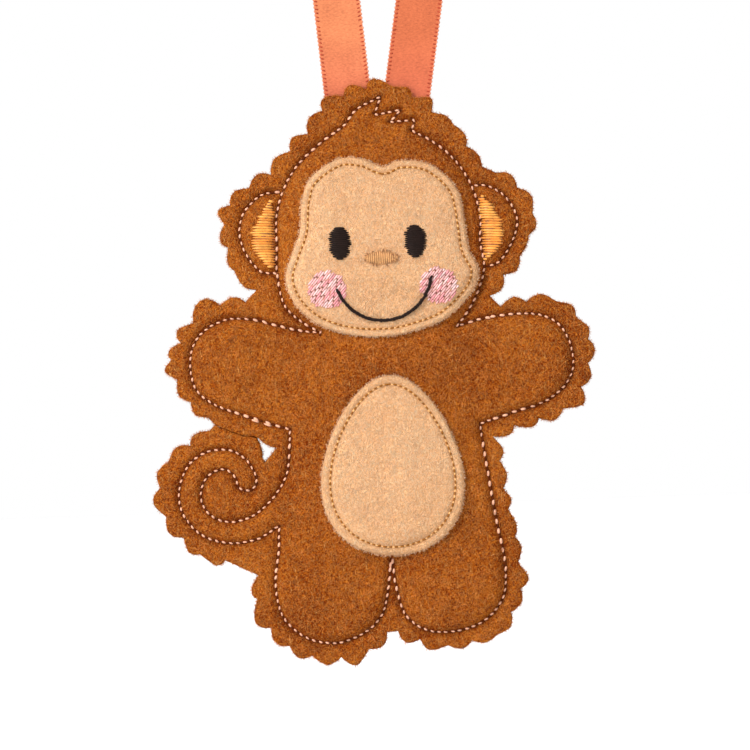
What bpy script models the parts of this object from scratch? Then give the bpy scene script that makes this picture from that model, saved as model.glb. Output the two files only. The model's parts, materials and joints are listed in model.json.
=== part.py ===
"""A stuffed felt monkey ornament: two pinked felt panels stitched together round thin wads of
fibrefill, with felt appliques, machine embroidery and a satin hanging ribbon.

The monkey stands in the XZ plane and faces -Y. The origin is the middle of the flat back, level with
the tummy. Outlines are written in millimetres as (x, z) pairs and become metres when a mesh is made.
"""

import math

import bmesh
import bpy
import numpy as np
from mathutils import Matrix, Vector
from mathutils.geometry import delaunay_2d_cdt

MM = 0.001

# Thicknesses and heights, in millimetres.
FELT = 1.5
APPLIQUE_FELT = 1.2
EMBROIDERY = 0.5
THREAD_RADIUS = 0.22
MOUTH_THREAD_RADIUS = 0.3
RIBBON_WIDTH = 9.6
RIBBON_THICKNESS = 0.35
PANEL_GAP = 0.6
FRONT_PUFF = 3.0
BACK_PUFF = 2.4
PUFF_RISE = 8.0
CLEARANCE = 0.1
SEAM_Y = -(PANEL_GAP / 2 + BACK_PUFF + FELT)

# Felt bends where it is narrowest, so each panel is divided there by a slot this far to each side.
FOLD_SLOT = 0.7

# Fineness of the outlines and of the points between them, in millimetres.
SEAM_STEP = 3.0
FINE_STEP = 2.0
SCATTER_STEP = 5.0
SCATTER_KEEP_OFF = 2.0

# Pinking teeth: a run between two notches bulges by this share of its length. Shorter and longer runs
# are the plain snips at the corners.
TOOTH_DEPTH = 0.27
TOOTH_RUN = (3.6, 7.0)
TOOTH_SAMPLES = (0.28, 0.72)

# Ends of the three fold lines, from notch to notch.
LEFT_ARM_FOLD = ((-25.8, 37.1), (-25.0, 6.3))
RIGHT_ARM_FOLD = ((20.9, 34.2), (20.6, 5.9))
HIP_FOLD = ((24.8, -19.3), (-27.5, -20.3))

# Notches of the pinked edge, clockwise, in runs that start and end on a fold line.
HEAD_CUT = [
    (-25.8, 37.1), (-30.2, 41.3), (-31.3, 46.0), (-31.9, 50.0), (-30.6, 54.2), (-26.7, 57.5),
    (-22.3, 60.0), (-18.3, 64.6), (-14.6, 67.9), (-11.5, 72.5), (-7.1, 75.2), (-2.5, 76.5),
    (2.4, 77.1), (6.5, 74.6), (10.5, 71.5), (14.7, 69.0), (17.2, 64.4), (20.5, 60.0),
    (23.0, 58.9), (27.2, 55.8), (30.0, 52.9), (30.1, 50.4), (29.0, 46.7), (27.4, 42.7),
    (23.8, 38.7), (20.9, 34.2),
]
RIGHT_ARM_CUT = [
    (20.9, 34.2), (23.0, 31.9), (28.2, 32.5), (32.8, 32.9), (37.6, 29.6), (40.1, 25.0),
    (40.2, 20.5), (38.6, 15.3), (35.1, 11.1), (29.9, 9.4), (24.7, 7.6), (20.6, 5.9),
]
RIGHT_SIDE_CUT = [
    (20.6, 5.9), (21.5, 1.0), (22.4, -4.5), (23.1, -8.8), (24.3, -14.5), (24.8, -19.3),
]
LEGS_CUT = [
    (24.8, -19.3), (25.0, -24.7), (23.2, -29.3), (19.7, -33.6), (14.9, -34.7), (9.9, -35.7),
    (5.0, -34.7), (0.1, -32.6), (-2.1, -32.6), (-5.8, -35.9), (-11.5, -37.6), (-17.5, -37.2),
    (-21.7, -34.7), (-25.4, -30.9), (-28.1, -25.9), (-27.5, -20.3),
]
# The shears came in between tail and arm, so a slit there opens into a small three-cornered hole.
TAIL_CUT = [
    (-27.5, -20.3), (-34.0, -17.2), (-38.8, -15.7), (-42.3, -12.0), (-45.4, -8.6), (-46.3, -1.8),
    (-45.0, 3.3), (-40.6, 6.2), (-36.4, 9.4), (-35.2, 9.6), (-32.0, 8.1), (-29.5, 7.1),
    (-27.4, 6.7), (-26.5, 5.4), (-25.9, 3.7), (-25.4, 2.2), (-24.0, 3.7), (-23.0, 5.1),
    (-25.0, 6.3),
]
LEFT_ARM_CUT = [
    (-25.0, 6.3), (-26.8, 7.8), (-29.5, 8.1), (-32.0, 9.1), (-35.0, 10.6), (-36.7, 11.6),
    (-40.0, 14.9), (-42.3, 19.5), (-42.3, 26.2), (-38.7, 30.8), (-33.3, 34.4), (-28.3, 34.6),
    (-25.8, 37.1),
]

# Stitched outline, as smooth lines through these points; each new list starts at a sharp corner.
LEFT_SHOULDER_SEAM = [(-13.3, 28.0), (-17.5, 28.5), (-22.5, 29.8), (-26.7, 31.0)]
LEFT_ARM_SEAM = LEFT_SHOULDER_SEAM + [
    (-31.7, 31.3), (-36.3, 29.4), (-39.0, 26.2), (-39.7, 22.0), (-38.6, 17.3), (-35.0, 14.2),
    (-30.0, 12.2), (-24.2, 10.1), (-20.1, 8.8),
]
TAIL_SEAM = [
    (-20.1, 8.8), (-20.4, 4.3), (-21.2, -0.5), (-24.2, -5.1), (-28.3, -8.4), (-32.5, -9.4),
    (-36.3, -8.2), (-38.5, -4.8), (-37.5, -0.6), (-34.0, 1.3), (-31.7, -0.2), (-30.7, -2.6),
    (-28.5, -3.1), (-27.2, -1.2), (-28.8, 2.5), (-32.1, 4.9), (-36.7, 4.9), (-40.7, 2.3),
    (-42.8, -2.6), (-42.2, -7.5), (-38.6, -11.8), (-33.3, -13.6), (-27.5, -13.0), (-23.0, -10.5),
]
LEFT_LEG_SEAM = [
    (-23.0, -10.5), (-23.2, -15.5), (-24.1, -22.0), (-22.9, -28.6), (-18.4, -33.1), (-12.5, -34.4),
    (-6.7, -32.6), (-2.8, -28.7), (-1.4, -23.0), (-0.8, -18.2),
]
RIGHT_LEG_SEAM = [
    (-0.5, -18.2), (0.1, -23.5), (2.0, -29.5), (6.5, -32.6), (12.5, -32.7), (18.0, -30.6),
    (21.6, -26.0), (22.1, -19.7), (21.1, -13.4), (19.5, -3.0), (18.0, 8.6),
]
RIGHT_ARM_SEAM = [
    (18.0, 8.6), (24.5, 10.6), (31.5, 12.8), (36.0, 16.6), (37.2, 21.5), (35.1, 27.4),
    (30.6, 30.1), (24.5, 30.3), (18.5, 29.5), (14.0, 28.3),
]
HEAD_RIGHT_SEAM = [
    (14.0, 28.3), (16.7, 31.7), (19.0, 36.3), (20.0, 40.3), (19.3, 45.0), (19.5, 50.5),
    (18.0, 56.3), (14.9, 61.6), (10.1, 65.8), (6.3, 67.9),
]
TUFT_SEAM = [
    (6.3, 67.9), (7.0, 70.1), (2.0, 69.7), (4.3, 71.9), (-1.0, 71.2), (0.3, 74.8),
]
HEAD_LEFT_SEAM = [
    (0.3, 74.8), (-4.6, 72.5), (-7.4, 69.2), (-12.3, 65.8), (-17.0, 61.4), (-20.0, 56.3),
    (-21.4, 51.0), (-21.5, 46.0), (-21.6, 40.3), (-20.4, 33.8), (-17.0, 30.3), (-13.3, 28.0),
]
# The ears' lines stop just short of the head's, so that the threads don't cross.
LEFT_EAR_SEAM = [
    (-21.0, 56.5), (-24.2, 56.0), (-27.6, 53.0), (-28.9, 49.0), (-28.0, 44.8), (-25.2, 40.9),
    (-22.4, 40.2),
]
RIGHT_EAR_SEAM = [
    (19.0, 56.6), (21.2, 56.3), (24.8, 53.9), (26.9, 49.6), (25.9, 45.2), (23.2, 41.2),
    (20.8, 40.1),
]

# Edge of the felt face, clockwise from the dip in its forehead.
FACE_EDGE = [
    (0.3, 60.5), (3.4, 61.6), (8.4, 61.2), (12.4, 58.7), (15.2, 54.8), (16.3, 48.5), (16.9, 43.5),
    (18.7, 39.4), (17.2, 35.0), (11.8, 30.0), (5.5, 27.7), (0.0, 26.8), (-7.1, 27.3), (-13.7, 29.6),
    (-18.1, 33.7), (-19.9, 38.8), (-18.5, 43.7), (-16.7, 48.3), (-16.1, 54.2), (-14.2, 58.8),
    (-8.6, 62.4), (-3.7, 62.2),
]
FACE_SEAM_INSET = 1.4

# The tummy is an egg: an ellipse that narrows towards the top.
TUMMY_CENTRE = (0.1, 0.9)
TUMMY_HALF = (13.9, 18.0)
TUMMY_NARROWING = 0.24
TUMMY_SEAM_INSET = 1.7

# Embroidered features: centre and half size of each ellipse.
EYES = {"left_eye": ((-8.8, 45.8), (2.2, 3.2)), "right_eye": ((6.2, 45.8), (2.2, 3.2))}
CHEEKS = {"left_cheek": ((-11.7, 36.6), (3.9, 3.8)), "right_cheek": ((10.5, 36.6), (3.9, 3.8))}
NOSE = ((-0.4, 42.3), (3.3, 1.45))
MOUTH_CENTRE = (-0.6, 39.7)
MOUTH_RADIUS = 9.7
MOUTH_ARC = (math.radians(198), math.radians(350))
LEFT_INNER_EAR = [
    (-22.4, 54.2), (-24.4, 51.9), (-26.3, 48.4), (-26.2, 45.2), (-24.8, 42.9), (-22.4, 41.7),
    (-22.2, 48.0),
]
RIGHT_INNER_EAR = [
    (20.1, 53.6), (22.4, 51.6), (24.0, 48.6), (23.8, 45.2), (22.2, 43.0), (20.4, 41.7), (20.1, 47.7),
]

# Hanging ribbon: one length of satin that rises flat from the head, then turns edge-on over its crown.
RIBBON_SEWN_END_Z = 68.0
RIBBON_FOLD_Z = 79.8
RIBBON_BEND_Z = 100.0
RIBBON_ARCH_Z = 124.0
RIBBON_FOOT_X = (-5.6, 4.5)
RIBBON_LEAN = (-0.083, 0.165)
RIBBON_TWIST_START_Z = 101.0
RIBBON_SLOT = 0.6
ARCH_STEPS = 15
TWIST_STEPS = 10

# Wads of fibrefill: centre and half size across, in millimetres.
WADS = {
    "stuffing_head": ((-0.8, 46.6), (17.0, 16.2)),
    "stuffing_torso": ((-0.8, 5.0), (16.0, 21.0)),
    "stuffing_left_arm": ((-32.0, 21.6), (5.0, 6.2)),
    "stuffing_right_arm": ((28.8, 21.0), (5.6, 6.4)),
    "stuffing_left_leg": ((-12.4, -27.0), (8.6, 4.8)),
    "stuffing_right_leg": ((10.8, -26.2), (8.4, 4.4)),
}
WAD_FILL = 0.72

# Colour, roughness and metallic value of each material.
MATERIALS = {
    "brown_felt": ((0.40, 0.15, 0.035), 0.95, 0.0),
    "peach_felt": ((0.86, 0.53, 0.29), 0.95, 0.0),
    "fibrefill": ((0.90, 0.89, 0.86), 0.95, 0.0),
    "outline_thread": ((0.86, 0.50, 0.36), 0.5, 0.0),
    "applique_thread": ((0.70, 0.33, 0.09), 0.5, 0.0),
    "dark_thread": ((0.035, 0.022, 0.018), 0.45, 0.0),
    "nose_thread": ((0.62, 0.33, 0.13), 0.5, 0.0),
    "cheek_thread": ((0.88, 0.45, 0.50), 0.5, 0.0),
    "ear_thread": ((0.86, 0.42, 0.08), 0.45, 0.0),
    "ribbon_satin": ((0.86, 0.29, 0.15), 0.35, 0.0),
}


def resampled(line, step):
    """Evenly spaced points along a polyline, ends included."""
    line = np.array(line, float)
    lengths = np.linalg.norm(np.diff(line, axis=0), axis=1)
    along = np.concatenate([[0.0], np.cumsum(lengths)])
    count = max(2, round(along[-1] / step) + 1)
    marks = np.linspace(0.0, along[-1], count)
    return np.column_stack([np.interp(marks, along, line[:, k]) for k in range(2)])


def smooth_line(points, step, closed=False):
    """Evenly spaced points on a Catmull-Rom curve through the given points."""
    p = np.array(points, float)
    if closed:
        p = np.vstack([p[-1], p, p[0], p[1]])
    else:
        p = np.vstack([2 * p[0] - p[1], p, 2 * p[-1] - p[-2]])
    t = np.linspace(0.0, 1.0, 12, endpoint=False)[:, None]
    runs = []
    for a, b, c, d in zip(p, p[1:], p[2:], p[3:]):
        runs.append(0.5 * (2 * b + (c - a) * t + (2 * a - 5 * b + 4 * c - d) * t**2
                           + (3 * b - a - 3 * c + d) * t**3))
    runs.append(p[-2][None])
    return resampled(np.vstack(runs), step)


def ellipse(centre, half, count):
    angles = np.linspace(0.0, 2 * math.pi, count, endpoint=False)
    return np.array(centre) + np.column_stack([half[0] * np.cos(angles), half[1] * np.sin(angles)])


def egg(inset, count):
    """The tummy's outline, or a line inside it."""
    angles = np.linspace(0.0, 2 * math.pi, count, endpoint=False)
    across = (TUMMY_HALF[0] - inset) * np.sin(angles) * (1 - TUMMY_NARROWING * np.cos(angles))
    return np.array(TUMMY_CENTRE) + np.column_stack([across, (TUMMY_HALF[1] - inset) * np.cos(angles)])


def inset_line(loop, distance):
    """A clockwise closed line moved inwards."""
    ahead, behind = np.roll(loop, -1, axis=0), np.roll(loop, 1, axis=0)
    tangent = ahead - behind
    tangent /= np.linalg.norm(tangent, axis=1)[:, None]
    return loop + distance * np.column_stack([tangent[:, 1], -tangent[:, 0]])


def pinked(notches):
    """The pinked edge through a run of notches: each tooth is a blunt bump on the outer side."""
    edge = []
    for start, end in zip(np.array(notches), np.array(notches)[1:]):
        run = end - start
        length = np.linalg.norm(run)
        outward = np.array([-run[1], run[0]]) / length
        edge.append(start)
        if TOOTH_RUN[0] < length < TOOTH_RUN[1]:
            edge += [start + t * run + TOOTH_DEPTH * length * outward for t in TOOTH_SAMPLES]
    return np.array(edge + [np.array(notches[-1])])


def unit_normal(fold):
    """The unit vector square to a fold line, on the left of its direction."""
    run = np.array(fold[1]) - np.array(fold[0])
    return np.array([-run[1], run[0]]) / np.linalg.norm(run)


def past_fold(points, fold, side):
    """How far points lie beyond the slot on one side of a fold line."""
    away = (np.atleast_2d(points) - np.array(fold[0])) @ unit_normal(fold)
    return side * away - FOLD_SLOT


def with_ends_on_slot(edge, start_fold, start_side, end_fold, end_side):
    """An edge whose ends are moved off their fold lines by the width of the slot."""
    edge = edge.copy()
    edge[0] += start_side * FOLD_SLOT * unit_normal(start_fold)
    edge[-1] += end_side * FOLD_SLOT * unit_normal(end_fold)
    return edge


def felt_outlines():
    """The four closed outlines of a panel: body with head and tail, two arms, and the legs."""
    left, right, hip = LEFT_ARM_FOLD, RIGHT_ARM_FOLD, HIP_FOLD
    body = np.vstack([
        with_ends_on_slot(pinked(HEAD_CUT), left, 1, right, -1),
        with_ends_on_slot(pinked(RIGHT_SIDE_CUT), right, -1, hip, -1),
        with_ends_on_slot(pinked(TAIL_CUT), hip, -1, left, 1),
    ])
    return {
        "body": body,
        "left_arm": with_ends_on_slot(pinked(LEFT_ARM_CUT), left, -1, left, -1),
        "right_arm": with_ends_on_slot(pinked(RIGHT_ARM_CUT), right, 1, right, 1),
        "legs": with_ends_on_slot(pinked(LEGS_CUT), hip, 1, hip, 1),
    }


def clipped(line, fold, side):
    """The parts of a line on one side of a fold's slot, each ending exactly on the slot's edge."""
    beyond = past_fold(line, fold, side)
    parts, current = [], []
    for i, point in enumerate(line):
        if i and (beyond[i] > 0) != (beyond[i - 1] > 0):
            t = beyond[i - 1] / (beyond[i - 1] - beyond[i])
            current.append(line[i - 1] + t * (point - line[i - 1]))
            if beyond[i] <= 0:
                parts.append(current)
                current = []
        if beyond[i] > 0:
            current.append(point)
    if current:
        parts.append(current)
    return [np.array(part) for part in parts]


def joined(*lines):
    """Lines that meet end to end, as one line."""
    return np.vstack([lines[0]] + [line[1:] for line in lines[1:]])


def outline_seams():
    """The stitched lines through both panels, by name, cut where the felt folds."""
    left_arm = smooth_line(LEFT_ARM_SEAM, SEAM_STEP)
    right_arm = smooth_line(RIGHT_ARM_SEAM, SEAM_STEP)
    left_leg = smooth_line(LEFT_LEG_SEAM, SEAM_STEP)
    right_leg = smooth_line(RIGHT_LEG_SEAM, SEAM_STEP)
    left_shoulder, left_armpit = clipped(left_arm, LEFT_ARM_FOLD, 1)
    right_armpit, right_shoulder = clipped(right_arm, RIGHT_ARM_FOLD, -1)
    left_hip = clipped(left_leg, HIP_FOLD, -1)[0]
    right_hip = clipped(right_leg, HIP_FOLD, -1)[-1]
    head = joined(
        right_shoulder,
        smooth_line(HEAD_RIGHT_SEAM, SEAM_STEP),
        resampled(TUFT_SEAM, FINE_STEP),
        smooth_line(HEAD_LEFT_SEAM, SEAM_STEP),
        left_shoulder,
    )
    return {
        "head": head,
        "left_ear": smooth_line(LEFT_EAR_SEAM, SEAM_STEP),
        "right_ear": smooth_line(RIGHT_EAR_SEAM, SEAM_STEP),
        "left_arm": clipped(left_arm, LEFT_ARM_FOLD, -1)[0],
        "right_arm": clipped(right_arm, RIGHT_ARM_FOLD, 1)[0],
        "tail_side": joined(left_armpit, smooth_line(TAIL_SEAM, FINE_STEP), left_hip),
        "right_side": joined(right_hip, right_armpit),
        "left_leg": clipped(left_leg, HIP_FOLD, 1)[0],
        "right_leg": clipped(right_leg, HIP_FOLD, 1)[0],
    }


def inside(loop, points):
    """Which points lie inside a closed line, by counting crossings."""
    found = np.zeros(len(points), bool)
    for (x0, z0), (x1, z1) in zip(loop, np.roll(loop, -1, axis=0)):
        if z0 == z1:
            continue
        spans = (points[:, 1] >= min(z0, z1)) & (points[:, 1] < max(z0, z1))
        crossing = x0 + (points[:, 1] - z0) / (z1 - z0) * (x1 - x0)
        found ^= spans & (points[:, 0] < crossing)
    return found


def distance_to(lines, points):
    """Distance from each point to the nearest of several polylines."""
    nearest = np.full(len(points), np.inf)
    for line in lines:
        for a, b in zip(line, line[1:]):
            run = b - a
            t = np.clip((points - a) @ run / max(run @ run, 1e-9), 0.0, 1.0)
            nearest = np.minimum(nearest, np.linalg.norm(points - a - t[:, None] * run, axis=1))
    return nearest


class Shape:
    """The monkey's outlines, and how far the stuffing lifts the felt at any place."""

    def __init__(self):
        self.felts = felt_outlines()
        self.seams = outline_seams()
        self.folds = [np.array(f) for f in (LEFT_ARM_FOLD, RIGHT_ARM_FOLD, HIP_FOLD)]
        trunk = joined(
            smooth_line(LEFT_ARM_SEAM, SEAM_STEP), smooth_line(TAIL_SEAM, FINE_STEP),
            smooth_line(LEFT_LEG_SEAM, SEAM_STEP), smooth_line(RIGHT_LEG_SEAM, SEAM_STEP),
            smooth_line(RIGHT_ARM_SEAM, SEAM_STEP), smooth_line(HEAD_RIGHT_SEAM, SEAM_STEP),
            resampled(TUFT_SEAM, FINE_STEP), smooth_line(HEAD_LEFT_SEAM, SEAM_STEP),
        )
        self.stuffed = [trunk, self.seams["left_ear"], self.seams["right_ear"]]

    def puff(self, points):
        """0 at the seams and folds and outside them, rising to 1 over the stuffing."""
        points = np.atleast_2d(points)
        away = distance_to(list(self.seams.values()) + self.folds, points)
        within = np.zeros(len(points), bool)
        for loop in self.stuffed:
            within |= inside(loop, points)
        return np.where(within, np.sin(math.pi / 2 * np.clip(away / PUFF_RISE, 0.0, 1.0)), 0.0)


def layer_y(puff, front, lift):
    """The Y of a layer that lies this far outside the panel's inner face."""
    if front:
        return SEAM_Y - (PANEL_GAP / 2 + FRONT_PUFF * puff + lift)
    return SEAM_Y + (PANEL_GAP / 2 + BACK_PUFF * puff + lift)


class FeltMap:
    """One triangulation shared by every layer on a side, so that stacked layers stay parallel."""

    def __init__(self, shape, loops, lines):
        points, edges = [], []
        for line, closed in [(loop, True) for loop in loops] + [(line, False) for line in lines]:
            first = len(points)
            points += [Vector(p) for p in line]
            edges += [(i, i + 1) for i in range(first, len(points) - 1)]
            if closed:
                edges.append((len(points) - 1, first))
        points += [Vector(p) for p in self.scatter(shape, loops, lines)]
        made = delaunay_2d_cdt(points, edges, [], 0, 1e-4)
        self.points = np.array([tuple(v) for v in made[0]])
        self.faces = np.array(made[2])
        self.puff = shape.puff(self.points)
        self.middles = self.points[self.faces].mean(axis=1)

    @staticmethod
    def scatter(shape, loops, lines):
        """Spare points in a triangular pattern over the stuffed areas, clear of the lines."""
        low, high = shape.stuffed[0].min(axis=0), shape.stuffed[0].max(axis=0)
        rows = np.arange(low[1], high[1], SCATTER_STEP * math.sqrt(3) / 2)
        spots = np.array([
            (x + (k % 2) * SCATTER_STEP / 2, z)
            for k, z in enumerate(rows)
            for x in np.arange(low[0], high[0], SCATTER_STEP)
        ])
        spots = spots[inside(shape.stuffed[0], spots)]
        closed = [np.vstack([loop, loop[:1]]) for loop in loops]
        return spots[distance_to(closed + list(lines), spots) > SCATTER_KEEP_OFF]

    def layer(self, name, outline, front, lift, thickness, material, parent):
        """The solid of one layer: the map's triangles inside the outline, given a thickness."""
        chosen = self.faces[inside(outline, self.middles)]
        used = np.unique(chosen)
        outward = -1.0 if front else 1.0
        near = layer_y(self.puff[used], front, lift)
        bm = bmesh.new()
        verts = {
            i: bm.verts.new((x * MM, y * MM, z * MM))
            for i, (x, z), y in zip(used, self.points[used], near)
        }
        for face in chosen:
            bm.faces.new([verts[i] for i in face])
        # The extrusion keeps the first surface as the inner face and adds the walls and outer face.
        grown = bmesh.ops.extrude_face_region(bm, geom=bm.faces[:], use_keep_orig=True)
        moved = [item for item in grown["geom"] if isinstance(item, bmesh.types.BMVert)]
        bmesh.ops.translate(bm, verts=moved, vec=(0.0, outward * thickness * MM, 0.0))
        bmesh.ops.recalc_face_normals(bm, faces=bm.faces[:])
        return mesh_object(name, bm, material, parent)


def material_named(name):
    material = bpy.data.materials.get(name)
    if material:
        return material
    colour, roughness, metallic = MATERIALS[name]
    material = bpy.data.materials.new(name)
    material.use_nodes = True
    principled = material.node_tree.nodes["Principled BSDF"]
    principled.inputs["Base Color"].default_value = (*colour, 1.0)
    principled.inputs["Roughness"].default_value = roughness
    principled.inputs["Metallic"].default_value = metallic
    return material


def place(obj, parent, pivot):
    """Parents an object to a pivot empty, with the object's own origin on that pivot."""
    COLLECTION.objects.link(obj)
    obj.parent = parent
    obj.data.transform(Matrix.Translation(-pivot))
    return obj


def mesh_object(name, bm, material, parent):
    mesh = bpy.data.meshes.new(name)
    bm.to_mesh(mesh)
    bm.free()
    mesh.materials.append(material_named(material))
    obj = bpy.data.objects.new(name, mesh)
    return place(obj, parent, parent.matrix_world.translation)


def thread(name, line, heights, radius, closed, material, parent):
    """A thin round thread along a stitched line, with one height for each point."""
    curve = bpy.data.curves.new(name, "CURVE")
    curve.dimensions = "3D"
    curve.bevel_depth = radius * MM
    curve.bevel_resolution = 0
    curve.use_fill_caps = True
    spline = curve.splines.new("POLY")
    spline.points.add(len(line) - 1)
    for point, (x, z), y in zip(spline.points, line, heights):
        point.co = (x * MM, y * MM, z * MM, 1.0)
    spline.use_cyclic_u = closed
    curve.materials.append(material_named(material))
    obj = bpy.data.objects.new(name, curve)
    return place(obj, parent, parent.matrix_world.translation)


def pivot_empty(name, x, z, parent=None):
    """An empty on a joint's axis, in the plane of the seam."""
    empty = bpy.data.objects.new(name, None)
    COLLECTION.objects.link(empty)
    at = Vector((x * MM, SEAM_Y * MM, z * MM))
    if parent:
        empty.parent = parent
        at -= parent.matrix_world.translation
    empty.location = at
    bpy.context.view_layer.update()
    return empty


def fold_middle(fold):
    return np.mean(np.array(fold), axis=0)


def ribbon_station(side, z):
    """Centre and direction of width of one strand at a height. Side 0 is left, side 1 is right."""
    x = RIBBON_FOOT_X[side] + RIBBON_LEAN[side] * (z - RIBBON_SEWN_END_Z)
    share = (z - RIBBON_TWIST_START_Z) / (RIBBON_ARCH_Z - RIBBON_TWIST_START_Z)
    share = max(0.0, min(1.0, share))
    turn = math.pi / 2 * (3 * share**2 - 2 * share**3)
    return Vector((x, SEAM_Y, z)), Vector((math.cos(turn), -math.sin(turn), 0.0))


def ribbon_strip(name, stations, parent):
    """A flat strip through stations of (centre, direction of its width), as thick as the ribbon."""
    bm = bmesh.new()
    rows = []
    for centre, across in stations:
        half = across.normalized() * RIBBON_WIDTH / 2
        rows.append([bm.verts.new((centre - half) * MM), bm.verts.new((centre + half) * MM)])
    for (a, b), (c, d) in zip(rows, rows[1:]):
        bm.faces.new([a, b, d, c])
    obj = mesh_object(name, bm, "ribbon_satin", parent)
    solidify = obj.modifiers.new("thickness", "SOLIDIFY")
    solidify.thickness = RIBBON_THICKNESS * MM
    solidify.offset = 0.0
    return obj


def crown_stations():
    """Up the left strand, over the arch and down the right strand, above the ribbon's second fold."""
    heights = np.linspace(RIBBON_BEND_Z + RIBBON_SLOT, RIBBON_ARCH_Z, TWIST_STEPS)
    left = [ribbon_station(0, z) for z in heights]
    right = [ribbon_station(1, z) for z in heights]
    start, end = left[-1][0], right[-1][0]
    middle, radius = (start + end) / 2, (end - start).length / 2
    # An odd number of steps leaves one level facet at the very top, where a hook bears.
    arch = []
    for k in range(1, ARCH_STEPS):
        angle = math.pi - math.pi * k / ARCH_STEPS
        around = Vector((math.cos(angle), 0.0, math.sin(angle))) * radius
        arch.append((middle + around, Vector((0.0, -1.0, 0.0))))
    return left + arch + [(centre, flipped(across)) for centre, across in reversed(right)]


def flipped(across):
    """The same width direction on the far side of the arch, where the strip has turned over."""
    return Vector((-across.x, across.y, 0.0))


def add_felts(shape, front_map, back_map, parents):
    """The front and back panels, each in four pieces that meet at the fold lines."""
    for part, outline in shape.felts.items():
        parent = parents[part]
        front_map.layer(f"front_felt_{part}", outline, True, 0.0, FELT, "brown_felt", parent)
        back_map.layer(f"back_felt_{part}", outline, False, 0.0, FELT, "brown_felt", parent)


def add_appliques(front_map, loops, root):
    on_felt = FELT + CLEARANCE
    for name in ("face", "tummy"):
        front_map.layer(f"{name}_applique", loops[name], True, on_felt, APPLIQUE_FELT, "peach_felt", root)


def add_embroidery(shape, front_map, loops, root):
    """Satin-stitched features on the face and in the ears, and the line of the mouth."""
    on_face = FELT + APPLIQUE_FELT + 2 * CLEARANCE
    threads = {"eye": "dark_thread", "cheek": "cheek_thread", "nose": "nose_thread"}
    for name in ("left_eye", "right_eye", "left_cheek", "right_cheek", "nose"):
        material = threads[name.split("_")[-1]]
        front_map.layer(name, loops[name], True, on_face, EMBROIDERY, material, root)
    for name in ("left_inner_ear", "right_inner_ear"):
        front_map.layer(name, loops[name], True, FELT + CLEARANCE, EMBROIDERY, "ear_thread", root)
    line = mouth_line()
    over_cheeks = on_face + EMBROIDERY + CLEARANCE + MOUTH_THREAD_RADIUS
    heights = layer_y(shape.puff(line), True, over_cheeks)
    thread("mouth", line, heights, MOUTH_THREAD_RADIUS, False, "dark_thread", root)


def mouth_line():
    angles = np.linspace(*MOUTH_ARC, 14)
    return np.array(MOUTH_CENTRE) + MOUTH_RADIUS * np.column_stack([np.cos(angles), np.sin(angles)])


def add_stitching(shape, loops, parents):
    """Needle thread on the front and bobbin thread on the back of every line, and the appliques' own."""
    on_felt = FELT + CLEARANCE + THREAD_RADIUS
    owner = {"left_arm": "left_arm", "right_arm": "right_arm", "left_leg": "legs", "right_leg": "legs"}
    for name, line in shape.seams.items():
        parent = parents[owner.get(name, "body")]
        for side, front in (("needle", True), ("bobbin", False)):
            heights = layer_y(shape.puff(line), front, on_felt)
            thread(f"{side}_thread_{name}", line, heights, THREAD_RADIUS, False, "outline_thread", parent)
    on_applique = on_felt + APPLIQUE_FELT + CLEARANCE
    for name in ("face", "tummy"):
        line = loops[f"{name}_seam"]
        heights = layer_y(shape.puff(line), True, on_applique)
        thread(f"{name}_stitching", line, heights, THREAD_RADIUS, True, "applique_thread", parents["body"])


def add_stuffing(shape, parents):
    """Flattened wads of fibrefill, each a ball pressed to the height of the space between the panels."""
    owner = {"left_arm": "left_arm", "right_arm": "right_arm", "left_leg": "legs", "right_leg": "legs"}
    for name, (centre, half) in WADS.items():
        parent = parents[owner.get(name.removeprefix("stuffing_"), "body")]
        bm = bmesh.new()
        bmesh.ops.create_uvsphere(bm, u_segments=14, v_segments=8, radius=1.0)
        for vert in bm.verts:
            x, z = centre[0] + half[0] * vert.co.x, centre[1] + half[1] * vert.co.z
            inner_face = layer_y(shape.puff((x, z))[0], vert.co.y < 0, 0.0)
            y = SEAM_Y + WAD_FILL * abs(vert.co.y) * (inner_face - SEAM_Y)
            vert.co = (x * MM, y * MM, z * MM)
        mesh_object(name, bm, "fibrefill", parent)


def add_ribbon(root, lower, upper):
    """Two sewn-in ends, two strands, and the crown that joins them."""
    for side, name in enumerate(("left", "right")):
        end = [ribbon_station(side, z) for z in (RIBBON_SEWN_END_Z, RIBBON_FOLD_Z - RIBBON_SLOT)]
        ribbon_strip(f"ribbon_{name}_sewn_end", end, root)
        heights = np.linspace(RIBBON_FOLD_Z + RIBBON_SLOT, RIBBON_BEND_Z - RIBBON_SLOT, 5)
        ribbon_strip(f"ribbon_{name}_strand", [ribbon_station(side, z) for z in heights], lower)
    ribbon_strip("ribbon_crown", crown_stations(), upper)


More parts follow.
